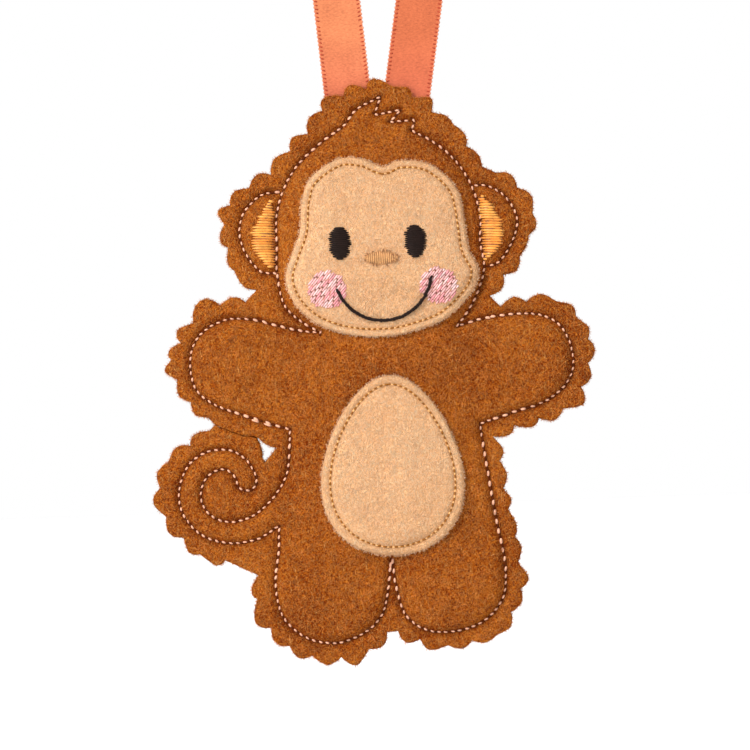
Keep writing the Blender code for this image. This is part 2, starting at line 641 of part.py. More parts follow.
def main():
    shape = Shape()
    face = smooth_line(FACE_EDGE, SEAM_STEP, closed=True)[:-1]
    loops = {
        "face": face,
        "face_seam": inset_line(face, FACE_SEAM_INSET),
        "tummy": egg(0.0, 32),
        "tummy_seam": egg(TUMMY_SEAM_INSET, 30),
        "nose": ellipse(*NOSE, 10),
        "left_inner_ear": np.array(LEFT_INNER_EAR),
        "right_inner_ear": np.array(RIGHT_INNER_EAR),
    }
    for name, (centre, half) in {**EYES, **CHEEKS}.items():
        loops[name] = ellipse(centre, half, 12)
    panels = list(shape.felts.values())
    front_map = FeltMap(shape, panels + list(loops.values()), [*shape.seams.values(), mouth_line()])
    back_map = FeltMap(shape, panels, list(shape.seams.values()))

    root = pivot_empty("felt_monkey", 0.0, 0.0)
    lower = pivot_empty("ribbon_fold_pivot", 0.0, RIBBON_FOLD_Z, root)
    upper = pivot_empty("ribbon_bend_pivot", 0.0, RIBBON_BEND_Z, lower)
    parents = {
        "body": root,
        "left_arm": pivot_empty("left_arm_pivot", *fold_middle(LEFT_ARM_FOLD), root),
        "right_arm": pivot_empty("right_arm_pivot", *fold_middle(RIGHT_ARM_FOLD), root),
        "legs": pivot_empty("hip_pivot", *fold_middle(HIP_FOLD), root),
    }
    add_felts(shape, front_map, back_map, parents)
    add_appliques(front_map, loops, root)
    add_embroidery(shape, front_map, loops, root)
    add_stitching(shape, loops, parents)
    add_stuffing(shape, parents)
    add_ribbon(root, lower, upper)


for old in list(bpy.data.objects):
    bpy.data.objects.remove(old)
COLLECTION = bpy.data.collections.new("stuffed_monkey")
bpy.context.scene.collection.children.link(COLLECTION)
main()
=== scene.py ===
"""The visible model of the stuffed felt monkey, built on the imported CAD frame.

Outlines are (x, z) pairs in millimetres in the row frame. The monkey faces -Y.
"""

import json
import math

import bpy
import numpy as np
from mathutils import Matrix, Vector, noise
from mathutils.bvhtree import BVHTree
from mathutils.geometry import delaunay_2d_cdt


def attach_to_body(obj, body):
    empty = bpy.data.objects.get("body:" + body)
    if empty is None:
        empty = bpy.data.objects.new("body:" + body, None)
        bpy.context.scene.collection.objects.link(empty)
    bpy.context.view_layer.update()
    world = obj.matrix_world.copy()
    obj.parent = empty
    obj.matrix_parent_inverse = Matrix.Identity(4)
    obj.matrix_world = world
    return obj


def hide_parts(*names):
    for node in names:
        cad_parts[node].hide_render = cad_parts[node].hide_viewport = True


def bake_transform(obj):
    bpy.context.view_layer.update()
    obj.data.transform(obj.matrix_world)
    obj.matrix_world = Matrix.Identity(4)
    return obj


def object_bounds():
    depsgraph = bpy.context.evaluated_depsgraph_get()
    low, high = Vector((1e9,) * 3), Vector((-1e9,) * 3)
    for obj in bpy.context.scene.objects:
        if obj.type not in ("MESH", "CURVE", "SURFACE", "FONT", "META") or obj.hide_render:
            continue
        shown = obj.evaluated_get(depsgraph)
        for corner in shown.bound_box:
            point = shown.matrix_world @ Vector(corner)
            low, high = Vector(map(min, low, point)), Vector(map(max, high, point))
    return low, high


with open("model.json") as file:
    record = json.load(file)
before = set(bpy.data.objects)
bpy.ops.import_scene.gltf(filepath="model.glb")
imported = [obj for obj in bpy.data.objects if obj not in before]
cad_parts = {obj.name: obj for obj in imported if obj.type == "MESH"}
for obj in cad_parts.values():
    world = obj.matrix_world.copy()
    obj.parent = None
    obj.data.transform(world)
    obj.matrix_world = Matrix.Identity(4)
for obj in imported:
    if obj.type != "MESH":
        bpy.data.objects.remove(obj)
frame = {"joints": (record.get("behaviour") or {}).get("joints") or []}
CAD_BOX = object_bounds()
JOINTS = {joint["name"]: joint for joint in frame["joints"]}
RNG = np.random.default_rng(11)
MM = 0.001

SEAM_Y = JOINTS["legs_flex"]["pos_m"][1] / MM
RIBBON_FOLD_Z = JOINTS["ribbon_fold"]["pos_m"][2] / MM
RIBBON_BEND_Z = JOINTS["ribbon_bend"]["pos_m"][2] / MM

# Heights of the felt's outer face from the seam plane, and how it dips at a line of stitches.
MARGIN = 1.75
FRONT_PUFF, BACK_PUFF = 3.0, 2.4
FRONT_PRESSURE, BACK_PRESSURE = 3.2, 2.6
STITCH_DIP, STITCH_DIP_WIDTH = 0.9, 0.8
FELT_THICKNESS = 1.45
APPLIQUE_THICKNESS = 1.15
APPLIQUE_DIP = 0.42

# Needle pitch of the outline: long on straight runs, short round bends.
LONG_PITCH, SHORT_PITCH = 2.0, 1.42
APPLIQUE_PITCH = 1.15

LEFT_ARM_FOLD = ((-25.8, 37.1), (-25.0, 5.85))
RIGHT_ARM_FOLD = ((20.9, 34.2), (20.6, 5.9))
HIP_FOLD = ((24.8, -19.3), (-27.5, -20.3))

TIP = True  # marks the tip of a tooth between two notches of a pinked edge
HEAD_CUT = [
    (-25.8, 37.1), (-28.6, 37.9, TIP), (-30.2, 41.0), (-31.5, 42.7, TIP), (-31.3, 45.7),
    (-32.9, 47.4, TIP), (-31.9, 50.4), (-33.1, 53.1, TIP), (-30.6, 54.2), (-29.8, 56.8, TIP),
    (-26.7, 57.5), (-25.0, 60.1, TIP), (-22.2, 60.0), (-21.5, 63.1, TIP), (-18.2, 64.6),
    (-17.7, 67.3, TIP), (-14.5, 67.9), (-14.2, 71.0, TIP), (-11.5, 72.5), (-11.0, 75.1, TIP),
    (-7.1, 75.2), (-5.7, 77.4, TIP), (-2.5, 76.5), (-0.9, 78.6, TIP), (2.4, 77.1), (6.0, 76.5, TIP),
    (6.5, 74.6), (10.5, 74.4, TIP), (10.5, 71.5), (13.3, 70.7, TIP), (14.7, 69.0), (17.0, 66.8, TIP),
    (17.2, 64.4), (19.5, 62.7, TIP), (20.3, 60.2), (23.0, 58.9), (26.0, 58.4, TIP), (27.1, 55.8),
    (29.5, 54.6, TIP), (30.2, 52.9), (30.1, 50.4), (30.7, 47.9, TIP), (29.0, 46.0), (28.7, 44.2, TIP),
    (27.2, 41.9), (26.5, 39.2, TIP), (23.7, 38.5), (23.5, 35.7, TIP), (20.9, 34.2),
]
RIGHT_ARM_CUT = [
    (20.9, 34.2), (23.0, 31.9), (25.6, 33.8, TIP), (28.2, 32.7), (30.9, 34.2, TIP), (33.8, 32.9),
    (37.3, 31.7, TIP), (38.0, 29.5), (40.5, 27.2, TIP), (40.3, 24.8), (41.6, 22.6, TIP), (40.2, 20.0),
    (40.6, 17.1, TIP), (38.6, 15.3), (39.0, 11.9, TIP), (34.9, 11.1), (33.0, 8.8, TIP), (29.9, 9.3),
    (28.6, 7.6, TIP), (24.9, 8.0), (23.8, 6.1, TIP), (20.6, 5.9),
]
RIGHT_SIDE_CUT = [
    (20.6, 5.9), (22.5, 3.2, TIP), (21.7, 1.0), (23.1, -1.8, TIP), (22.3, -4.5), (23.8, -6.8, TIP),
    (23.1, -8.8), (24.7, -12.0, TIP), (24.2, -14.5), (25.5, -16.5, TIP), (24.8, -19.3),
]
LEGS_CUT = [
    (24.8, -19.3), (26.7, -22.7, TIP), (25.1, -24.7), (25.2, -27.5, TIP), (23.0, -29.5),
    (22.8, -32.4, TIP), (19.9, -34.0), (17.6, -35.4, TIP), (14.9, -34.9), (12.9, -36.4, TIP),
    (10.1, -35.7), (6.4, -36.5, TIP), (4.5, -34.2), (1.7, -34.8, TIP), (0.1, -32.4), (-2.1, -32.6),
    (-2.9, -35.2, TIP), (-5.8, -35.9), (-8.4, -39.0, TIP), (-11.5, -37.3), (-14.3, -38.8, TIP),
    (-17.3, -36.8), (-20.0, -37.2, TIP), (-21.7, -34.7), (-24.5, -33.9, TIP), (-25.3, -30.9),
    (-28.4, -29.7, TIP), (-28.0, -25.1), (-29.0, -23.2, TIP), (-27.5, -20.3),
]
TAIL_CUT = [
    (-27.5, -20.3), (-34.0, -17.1), (-36.0, -18.0, TIP), (-39.0, -15.7), (-41.3, -15.2, TIP),
    (-42.3, -12.2), (-45.1, -11.2, TIP), (-45.6, -8.0), (-48.1, -4.9, TIP), (-46.6, -2.0),
    (-47.1, 1.0, TIP), (-44.8, 3.1), (-43.2, 5.9, TIP), (-40.3, 6.1), (-39.5, 8.3, TIP), (-36.4, 9.0),
    (-35.25, 10.1), (-32.0, 8.68), (-29.5, 7.72), (-27.5, 7.5), (-26.9, 7.2), (-26.3, 5.8), (-25.95, 4.5),
    (-25.9, 3.0), (-25.4, 2.3), (-24.4, 3.5), (-23.0, 5.1), (-24.1, 5.45), (-25.0, 5.85),
]
LEFT_ARM_CUT = [
    (-25.0, 5.85), (-25.7, 6.4), (-26.6, 7.25), (-27.5, 7.6), (-29.5, 7.82), (-32.0, 8.78), (-35.2, 10.2),
    (-36.5, 11.7),
    (-39.1, 12.4, TIP), (-39.9, 14.9), (-42.3, 16.4, TIP), (-42.4, 19.5), (-44.8, 21.3, TIP),
    (-43.5, 23.5), (-43.9, 25.3, TIP), (-41.5, 26.9), (-42.1, 29.4, TIP), (-38.8, 30.8), (-38.9, 32.6),
    (-38.3, 34.2), (-37.3, 35.2), (-36.0, 35.7), (-34.7, 35.2), (-33.3, 34.2),
    (-30.6, 35.7, TIP), (-28.2, 34.6), (-25.8, 37.1),
]

LEFT_SHOULDER_SEAM = [(-13.3, 28.0), (-17.5, 28.5), (-22.5, 29.8), (-26.7, 31.0)]
LEFT_ARM_SEAM = LEFT_SHOULDER_SEAM + [
    (-31.7, 31.3), (-36.3, 29.4), (-39.0, 26.2), (-39.7, 22.0), (-38.6, 17.3), (-35.0, 14.2),
    (-30.0, 12.2), (-24.2, 10.1), (-20.1, 8.8),
]
TAIL_SEAM = [
    (-20.1, 8.8), (-20.4, 4.3), (-21.2, -0.5), (-24.2, -5.1), (-28.3, -8.4), (-32.5, -9.4),
    (-36.3, -8.2), (-38.5, -4.8), (-37.5, -0.6), (-34.0, 1.3), (-31.7, -0.2), (-30.7, -2.6),
    (-28.5, -3.1), (-27.2, -1.2), (-28.8, 2.5), (-32.1, 4.9), (-36.7, 4.9), (-40.7, 2.3),
    (-42.8, -2.6), (-42.2, -7.5), (-38.6, -11.8), (-33.3, -13.6), (-27.5, -13.0), (-23.0, -10.5),
]
LEFT_LEG_SEAM = [
    (-23.0, -10.5), (-23.2, -15.5), (-24.1, -22.0), (-22.9, -28.6), (-18.4, -33.1), (-12.5, -34.4),
    (-6.7, -32.6), (-2.8, -28.7), (-1.4, -23.0), (-0.8, -18.0),
]
RIGHT_LEG_SEAM = [
    (-0.5, -18.0), (0.1, -23.5), (2.0, -29.5), (6.5, -32.6), (12.5, -32.7), (18.0, -30.6),
    (21.6, -26.0), (22.1, -19.7), (21.1, -13.4), (19.5, -3.0), (18.0, 8.6),
]
RIGHT_ARM_SEAM = [
    (18.0, 8.6), (24.5, 10.6), (31.5, 12.8), (36.0, 16.6), (37.2, 21.5), (35.1, 27.4),
    (30.6, 30.1), (24.5, 30.3), (18.5, 29.5), (14.0, 28.3),
]
HEAD_RIGHT_SEAM = [
    (14.0, 28.3), (16.7, 31.7), (19.0, 36.3), (20.0, 40.3), (19.3, 45.0), (19.5, 50.5),
    (18.0, 56.3), (14.9, 61.6), (10.1, 65.8), (6.3, 67.9),
]
TUFT_SEAM = [
    (6.3, 67.9), (7.1, 70.1), (2.0, 69.7), (4.4, 72.2), (-1.0, 71.3), (0.3, 74.9),
]
HEAD_LEFT_SEAM = [
    (0.3, 74.9), (-4.6, 72.5), (-7.4, 69.2), (-12.3, 65.8), (-17.0, 61.4), (-20.0, 56.3),
    (-21.4, 51.0), (-21.5, 46.0), (-21.6, 40.3), (-20.4, 33.8), (-17.0, 30.3), (-13.3, 28.0),
]
LEFT_EAR_SEAM = [
    (-20.6, 56.5), (-24.2, 56.0), (-27.6, 53.0), (-28.9, 49.0), (-28.0, 44.8), (-25.2, 40.9),
    (-22.1, 40.2),
]
RIGHT_EAR_SEAM = [
    (18.6, 56.5), (21.2, 56.3), (24.8, 53.9), (26.9, 49.6), (25.9, 45.2), (23.2, 41.2),
    (20.5, 40.1),
]
FACE_EDGE = [
    (0.3, 60.5), (3.4, 61.6), (8.4, 61.2), (12.4, 58.7), (15.2, 54.8), (16.3, 48.5), (16.9, 43.5),
    (18.7, 39.4), (17.2, 35.0), (11.8, 30.0), (5.5, 27.7), (0.0, 26.8), (-7.1, 27.3), (-13.7, 29.6),
    (-18.1, 33.7), (-19.9, 38.8), (-18.5, 43.7), (-16.7, 48.3), (-16.1, 54.2), (-14.2, 58.8),
    (-8.6, 62.4), (-3.7, 62.2),
]
TUMMY_CENTRE, TUMMY_HALF, TUMMY_NARROWING = (0.1, 0.9), (13.9, 18.0), 0.24
EYES = {"left_eye": ((-8.8, 45.5), (2.2, 3.25)), "right_eye": ((6.2, 45.5), (2.2, 3.3))}
CHEEKS = {"left_cheek": ((-11.6, 36.4), (3.9, 3.7)), "right_cheek": ((10.6, 36.5), (3.8, 3.6))}
NOSE = ((-0.6, 42.3), (3.3, 1.4))
MOUTH_CENTRE, MOUTH_RADIUS, MOUTH_ARC = (-0.5, 39.6), 9.7, (202, 350)
LEFT_INNER_EAR = [
    (-22.1, 54.6), (-24.4, 52.1), (-26.4, 48.4), (-26.2, 45.2), (-24.8, 42.9), (-22.1, 41.5),
    (-21.9, 48.0),
]
RIGHT_INNER_EAR = [
    (19.6, 54.2), (22.3, 51.8), (24.0, 48.6), (23.8, 45.2), (22.2, 43.0), (20.1, 41.5), (19.6, 47.7),
]
WADS = {
    "stuffing_head": ((-0.8, 46.6), (17.0, 16.2)),
    "stuffing_torso": ((-0.8, 5.0), (16.0, 21.0)),
    "stuffing_left_arm": ((-32.0, 21.6), (5.0, 6.2)),
    "stuffing_right_arm": ((28.8, 21.0), (5.6, 6.4)),
    "stuffing_left_leg": ((-12.4, -27.0), (8.6, 4.8)),
    "stuffing_right_leg": ((10.8, -26.2), (8.4, 4.4)),
}
RIBBON_WIDTH, RIBBON_THICKNESS, RIBBON_CURL = 9.6, 0.35, 0.16
PICOT_PITCH = 0.8
RIBBON_SEWN_END_Z, RIBBON_SPLIT_Z, RIBBON_ARCH_Z = 68.0, 90.0, 124.0
RIBBON_FOOT_X, RIBBON_LEAN = (-5.6, 4.5), (-0.083, 0.165)


# ---------------------------------------------------------------- plane geometry

def travelled(line):
    """The length of a line from its start to each of its points."""
    return np.concatenate([[0.0], np.cumsum(np.linalg.norm(np.diff(line, axis=0), axis=1))])


def sampled(values, along, marks):
    """Rows of values, known at the lengths in along, read off at the marks."""
    return np.column_stack([np.interp(marks, along, column) for column in values.T])


def resampled(line, step):
    line = np.array(line, float)
    along = travelled(line)
    return sampled(line, along, np.linspace(0.0, along[-1], max(2, round(along[-1] / step) + 1)))


def smooth_line(points, step, closed=False):
    """Evenly spaced points on a Catmull-Rom curve."""
    p = np.array(points, float)
    ends = (p[-1], (p[0], p[1])) if closed else (2 * p[0] - p[1], (2 * p[-1] - p[-2],))
    p = np.vstack([ends[0], p, *ends[1]])
    t = np.linspace(0.0, 1.0, 16, endpoint=False)[:, None]
    runs = [
        0.5 * (2 * b + (c - a) * t + (2 * a - 5 * b + 4 * c - d) * t**2 + (3 * b - a - 3 * c + d) * t**3)
        for a, b, c, d in zip(p, p[1:], p[2:], p[3:])
    ]
    line = resampled(np.vstack(runs + [p[-2][None]]), step)
    return line[:-1] if closed else line


def joined(*lines):
    return np.vstack([lines[0]] + [line[1:] for line in lines[1:]])


def ellipse(centre, half, count):
    a = np.linspace(0.0, 2 * math.pi, count, endpoint=False)
    return np.array(centre) + np.column_stack([half[0] * np.cos(a), half[1] * np.sin(a)])


def egg(inset, count):
    a = np.linspace(0.0, 2 * math.pi, count, endpoint=False)
    across = (TUMMY_HALF[0] - inset) * np.sin(a) * (1 - TUMMY_NARROWING * np.cos(a))
    return np.array(TUMMY_CENTRE) + np.column_stack([across, (TUMMY_HALF[1] - inset) * np.cos(a)])


def tangents(line, closed=False):
    if closed:
        t = np.roll(line, -1, axis=0) - np.roll(line, 1, axis=0)
    else:
        t = np.gradient(line, axis=0)
    return t / np.maximum(np.linalg.norm(t, axis=1)[:, None], 1e-9)


def inset_line(loop, distance):
    """A clockwise closed line moved inwards."""
    t = tangents(loop, True)
    return loop + distance * np.column_stack([t[:, 1], -t[:, 0]])


def inside(loop, points):
    found = np.zeros(len(points), bool)
    for (x0, z0), (x1, z1) in zip(loop, np.roll(loop, -1, axis=0)):
        if z0 != z1:
            spans = (points[:, 1] >= min(z0, z1)) & (points[:, 1] < max(z0, z1))
            found ^= spans & (points[:, 0] < x0 + (points[:, 1] - z0) / (z1 - z0) * (x1 - x0))
    return found


def distance_to(lines, points):
    nearest = np.full(len(points), np.inf)
    for line in lines:
        for a, b in zip(line, line[1:]):
            run = b - a
            t = np.clip((points - a) @ run / max(run @ run, 1e-9), 0.0, 1.0)
            away = points - a - t[:, None] * run
            nearest = np.minimum(nearest, np.einsum("ij,ij->i", away, away))
    return np.sqrt(nearest)


def closed_line(loop):
    return np.vstack([loop, loop[:1]])


def bell(half, width):
    """Weights of a smoothing window, 2 * half + 1 of them, that add up to 1."""
    weights = np.exp(-0.5 * (np.arange(-half, half + 1) / width) ** 2)
    return weights / weights.sum()


def rounded(distance, radius):
    """A quarter-round edge: 0 at the cut, 1 from radius inwards."""
    return np.sqrt(1 - (1 - np.clip(distance / radius, 0, 1)) ** 2)


def past_fold(points, fold):
    """Signed distance from a fold line, positive on the left of its direction."""
    run = np.array(fold[1]) - np.array(fold[0])
    normal = np.array([-run[1], run[0]]) / np.linalg.norm(run)
    return (np.atleast_2d(points) - np.array(fold[0])) @ normal


def pinked(cut):
    """A pinked edge: straight lines, with a blunt tooth wherever a tip lies between two notches."""
    edge, i = [], 0
    while i < len(cut) - 1:
        tooth = len(cut[i + 1]) == 3
        start, end = np.array(cut[i][:2]), np.array(cut[i + 1 + tooth][:2])
        run = end - start
        length = np.linalg.norm(run)
        if tooth:
            outward = np.array([-run[1], run[0]]) / length
            tip = np.array(cut[i + 1][:2]) - start
            peak = np.clip(tip @ run / length**2, 0.3, 0.7)
            t = np.linspace(0.0, 1.0, 14)[:-1]
            u = t ** (math.log(0.5) / math.log(peak))
            rise = tip @ outward * (1 - np.abs(2 * u - 1) ** RNG.uniform(1.5, 2.1))
            edge += list(start + t[:, None] * run + rise[:, None] * outward)
        else:
            count = max(1, round(length / 0.5))
            edge += [start + k / count * run for k in range(count)]
        i += 1 + tooth
    edge = np.array(edge + [np.array(cut[-1][:2])])
    ragged = 0.07 * np.array([
        [noise.noise(Vector((x * 1.3, z * 1.3, k))) for k in (5.0, 9.0)] for x, z in edge
    ])
    ragged[[0, -1]] = 0.0
    return edge + 1.6 * ragged


# ---------------------------------------------------------------- outlines

SLIT_X, SLIT_Z = (-35.0, -27.0), (7.4, 10.0)
SLIT_STEP = 0.5


def lower_slit(cut):
    """The same cut with the slit between tail and arm a little lower. The back felt is cut like this, so
    that no light comes through."""
    lowered = []
    for x, z, *tip in cut:
        if SLIT_X[0] < x < SLIT_X[1] and SLIT_Z[0] < z < SLIT_Z[1]:
            z -= SLIT_STEP
        lowered.append((x, z, *tip))
    return lowered


def felt_runs(front):
    tail, left_arm = (TAIL_CUT, LEFT_ARM_CUT) if front else (lower_slit(TAIL_CUT), lower_slit(LEFT_ARM_CUT))
    return {
        "head": pinked(HEAD_CUT), "right_arm": pinked(RIGHT_ARM_CUT), "right_side": pinked(RIGHT_SIDE_CUT),
        "legs": pinked(LEGS_CUT), "tail": pinked(tail), "left_arm": pinked(left_arm),
    }


def felt_regions(runs):
    return {
        "body": np.vstack([runs["head"], runs["right_side"], runs["tail"]]),
        "left_arm": runs["left_arm"], "right_arm": runs["right_arm"], "legs": runs["legs"],
    }


SEAMS_WHOLE = {
    "left_arm": smooth_line(LEFT_ARM_SEAM, 0.5), "tail": smooth_line(TAIL_SEAM, 0.5),
    "left_leg": smooth_line(LEFT_LEG_SEAM, 0.5), "right_leg": smooth_line(RIGHT_LEG_SEAM, 0.5),
    "right_arm": smooth_line(RIGHT_ARM_SEAM, 0.5), "head_right": smooth_line(HEAD_RIGHT_SEAM, 0.5),
    "tuft": resampled(TUFT_SEAM, 0.5), "head_left": smooth_line(HEAD_LEFT_SEAM, 0.5),
}
TRUNK = joined(*SEAMS_WHOLE.values())
EARS = {"left_ear": smooth_line(LEFT_EAR_SEAM, 0.5), "right_ear": smooth_line(RIGHT_EAR_SEAM, 0.5)}
ALL_SEAMS = [*SEAMS_WHOLE.values(), *EARS.values()]


def seam_runs():
    """Seam polylines by the CAD thread they stand for."""
    def side(line, fold, sign):
        kept = sign * past_fold(line, fold) > 0
        cuts = np.flatnonzero(np.diff(kept.astype(int))) + 1
        return [part for part in np.split(line, cuts) if sign * past_fold(part[len(part) // 2], fold)[0] > 0]

    s = SEAMS_WHOLE
    left_shoulder, left_armpit = side(s["left_arm"], LEFT_ARM_FOLD, 1)
    right_armpit, right_shoulder = side(s["right_arm"], RIGHT_ARM_FOLD, -1)
    left_hip, left_crotch = side(s["left_leg"], HIP_FOLD, -1)
    right_crotch, right_hip = side(s["right_leg"], HIP_FOLD, -1)
    return {
        "head": [joined(right_shoulder, s["head_right"], s["tuft"], s["head_left"], left_shoulder)],
        "left_ear": [EARS["left_ear"]], "right_ear": [EARS["right_ear"]],
        "left_arm": side(s["left_arm"], LEFT_ARM_FOLD, -1),
        "right_arm": side(s["right_arm"], RIGHT_ARM_FOLD, 1),
        "tail_side": [joined(left_armpit, s["tail"], left_hip), left_crotch],
        "right_side": [joined(right_hip, right_armpit), right_crotch],
        "left_leg": side(s["left_leg"], HIP_FOLD, 1), "right_leg": side(s["right_leg"], HIP_FOLD, 1),
    }


# ---------------------------------------------------------------- padding

def hex_points(low, high, step):
    rows = np.arange(low[1], high[1], step * math.sqrt(3) / 2)
    return np.array([
        (x + (k % 2) * step / 2, z) for k, z in enumerate(rows) for x in np.arange(low[0], high[0], step)
    ])


def triangulate(lines, spots, keep):
    """Constrained triangles of lines and loose spots; keep says which triangle middles stay."""
    points, edges = [], []
    for line in lines:
        first = len(points)
        points += [Vector(p) for p in line]
        edges += [(i, i + 1) for i in range(first, len(points) - 1)]
    points += [Vector(p) for p in spots]
    made = delaunay_2d_cdt(points, edges, [], 0, 1e-4)
    flat = np.array([tuple(v) for v in made[0]])
    faces = np.array(made[2])
    a, b, c = (flat[faces[:, k]] for k in range(3))
    turn = (b[:, 0] - a[:, 0]) * (c[:, 1] - a[:, 1]) - (b[:, 1] - a[:, 1]) * (c[:, 0] - a[:, 0])
    faces = faces[np.abs(turn) > 1e-5]
    faces = faces[keep(flat[faces].mean(axis=1))]
    used = np.unique(faces)
    renumber = np.full(len(flat), -1)
    renumber[used] = np.arange(len(used))
    return flat[used], renumber[faces]


def padded_area(points):
    """Whether points lie inside the stitched outline of the trunk or of an ear."""
    found = inside(TRUNK, points)
    for ear in EARS.values():
        found |= inside(ear, points)
    return found


CLOTH_GROWTH = 0.03
CLOTH_FRAMES = 22


def blown_sheet(pressure):
    """Points in mm, and triangles, of a felt sheet sewn down along its seams and blown up towards +Y.
    The sheet starts a little too large for its seams, so that it puckers beside them."""
    lines = [resampled(line, 1.8) for line in [closed_line(TRUNK), *EARS.values()]]
    low, high = TRUNK.min(axis=0) - 9, TRUNK.max(axis=0) + 9
    spots = hex_points(low, high, 2.0)
    spots = spots[padded_area(spots)]
    spots = spots[distance_to(lines, spots) > 1.1]
    flat, faces = triangulate(lines, spots, padded_area)
    scale = 0.01
    mesh = bpy.data.meshes.new("blown")
    corners = [tuple(f[::-1]) for f in faces.tolist()]
    mesh.from_pydata([(x * scale, 0.0, z * scale) for x, z in flat], [], corners)
    mesh.update()
    sheet = bpy.data.objects.new("blown", mesh)
    bpy.context.scene.collection.objects.link(sheet)
    pins = sheet.vertex_groups.new(name="pins")
    sewn = np.flatnonzero(distance_to(lines, flat) < 0.3)
    pins.add([int(i) for i in sewn], 1.0, "REPLACE")
    cloth = sheet.modifiers.new("cloth", "CLOTH")
    settings = cloth.settings
    settings.quality = 7
    settings.mass = 0.3
    settings.tension_stiffness = settings.compression_stiffness = 25
    settings.shear_stiffness = 8
    settings.bending_stiffness = 1.2
    settings.air_damping = 3
    settings.vertex_group_mass = "pins"
    settings.effector_weights.gravity = 0.0
    settings.use_pressure = True
    settings.uniform_pressure_force = pressure
    settings.shrink_min = -CLOTH_GROWTH
    cloth.collision_settings.use_collision = False
    cloth.point_cache.frame_start, cloth.point_cache.frame_end = 1, CLOTH_FRAMES
    for f in range(1, CLOTH_FRAMES + 1):
        bpy.context.scene.frame_set(f)
    evaluated = sheet.evaluated_get(bpy.context.evaluated_depsgraph_get()).to_mesh()
    moved = np.array([v.co for v in evaluated.vertices]) / scale
    bpy.context.scene.frame_set(1)
    bpy.data.objects.remove(sheet)
    return moved, faces


class Padding:
    def __init__(self, limit, pressure):
        self.low = TRUNK.min(axis=0) - 12
        self.step = 0.5
        size = np.ceil((TRUNK.max(axis=0) + 12 - self.low) / self.step).astype(int)
        xs, zs = np.meshgrid(np.arange(size[0]), np.arange(size[1]), indexing="ij")
        spots = self.low + np.column_stack([xs.ravel(), zs.ravel()]) * self.step
        moved, faces = blown_sheet(pressure)
        tree = BVHTree.FromPolygons([tuple(p) for p in moved], faces.tolist())
        height = np.zeros(len(spots))
        for i, (x, z) in enumerate(spots):
            hit = tree.ray_cast(Vector((x, -50.0, z)), Vector((0.0, 1.0, 0.0)))[0]
            if hit is not None:
                height[i] = max(0.0, hit.y)
        height = limit * np.tanh(height / limit)
        if height.max() < 0.5 * limit:
            raise RuntimeError("the blown-up sheet hardly rose, so the felt would be flat")
        field = height.reshape(size)
        kernel = bell(4, 1.5)
        for axis in (0, 1):
            field = np.apply_along_axis(lambda row: np.convolve(row, kernel, mode="same"), axis, field)
        self.field = field

    def at(self, points):
        g = (np.atleast_2d(points) - self.low) / self.step
        i = np.clip(np.floor(g).astype(int), 0, np.array(self.field.shape) - 2)
        f = np.clip(g - i, 0, 1)
        a, b = self.field[i[:, 0], i[:, 1]], self.field[i[:, 0] + 1, i[:, 1]]
        c, d = self.field[i[:, 0], i[:, 1] + 1], self.field[i[:, 0] + 1, i[:, 1] + 1]
        low, high = a * (1 - f[:, 0]) + b * f[:, 0], c * (1 - f[:, 0]) + d * f[:, 0]
        return low * (1 - f[:, 1]) + high * f[:, 1]


def rough(points, size, seed):
    """Smooth noise of about -1 to 1 whose lumps are size mm across."""
    return np.array([noise.noise(Vector((x / size, z / size, seed))) for x, z in np.atleast_2d(points)]) * 1.6


class Surface:
    """Outer face of the front or back felt: its height over the seam plane, and its place in 3D."""

    def __init__(self, front):
        self.front = front
        self.padding = Padding(FRONT_PUFF, FRONT_PRESSURE) if front else Padding(BACK_PUFF, BACK_PRESSURE)
        self.seed = 3.0 if front else 7.0
        self.runs = felt_runs(front)
        self.regions = felt_regions(self.runs)

    def height(self, points):
        points = np.atleast_2d(points)
        away = distance_to(ALL_SEAMS, points)
        dip = STITCH_DIP * np.exp(-((away / STITCH_DIP_WIDTH) ** 2))
        loose = np.clip(away / 3.0, 0, 1)
        wave = 0.22 * loose * rough(points, 9.0, self.seed) + 0.05 * rough(points, 1.3, self.seed + 1)
        return MARGIN + self.padding.at(points) - dip + wave

    def place(self, points, height):
        points = np.atleast_2d(points)
        y = SEAM_Y - height if self.front else SEAM_Y + height
        return np.column_stack([points[:, 0], y, points[:, 1]])


# ---------------------------------------------------------------- meshes

def new_object(name, vertices, faces, materials, face_materials=None, normals=None):
    mesh = bpy.data.meshes.new(name)
    mesh.from_pydata((np.asarray(vertices) * MM).tolist(), [], faces)
    for material in materials:
        mesh.materials.append(material)
    if face_materials is not None:
        mesh.polygons.foreach_set("material_index", np.asarray(face_materials, np.int32))
    mesh.shade_smooth()
    if normals is not None:
        mesh.normals_split_custom_set(normals)
    mesh.update()
    obj = bpy.data.objects.new(name, mesh)
    bpy.context.scene.collection.objects.link(obj)
    return obj


def edge_rows(lines, offsets):
    """Points beside lines, at each of the offsets to their right."""
    rows = []
    for line in lines:
        t = tangents(line)
        normal = np.column_stack([t[:, 1], -t[:, 0]])
        rows += [line + normal * offset for offset in offsets]
    return np.vstack(rows)


def thin_out(points, gap, fixed):
    """Drops points closer than gap to each other or to the fixed ones."""
    cells, kept = {}, []
    for p in fixed:
        cells.setdefault((int(p[0] // gap), int(p[1] // gap)), []).append(p)
    for p in points:
        i, j = int(p[0] // gap), int(p[1] // gap)
        near = (q for a in (i - 1, i, i + 1) for b in (j - 1, j, j + 1) for q in cells.get((a, b), ()))
        if all((p[0] - q[0]) ** 2 + (p[1] - q[1]) ** 2 >= gap * gap for q in near):
            cells.setdefault((i, j), []).append(p)
            kept.append(p)
    return np.array(kept).reshape(-1, 2)


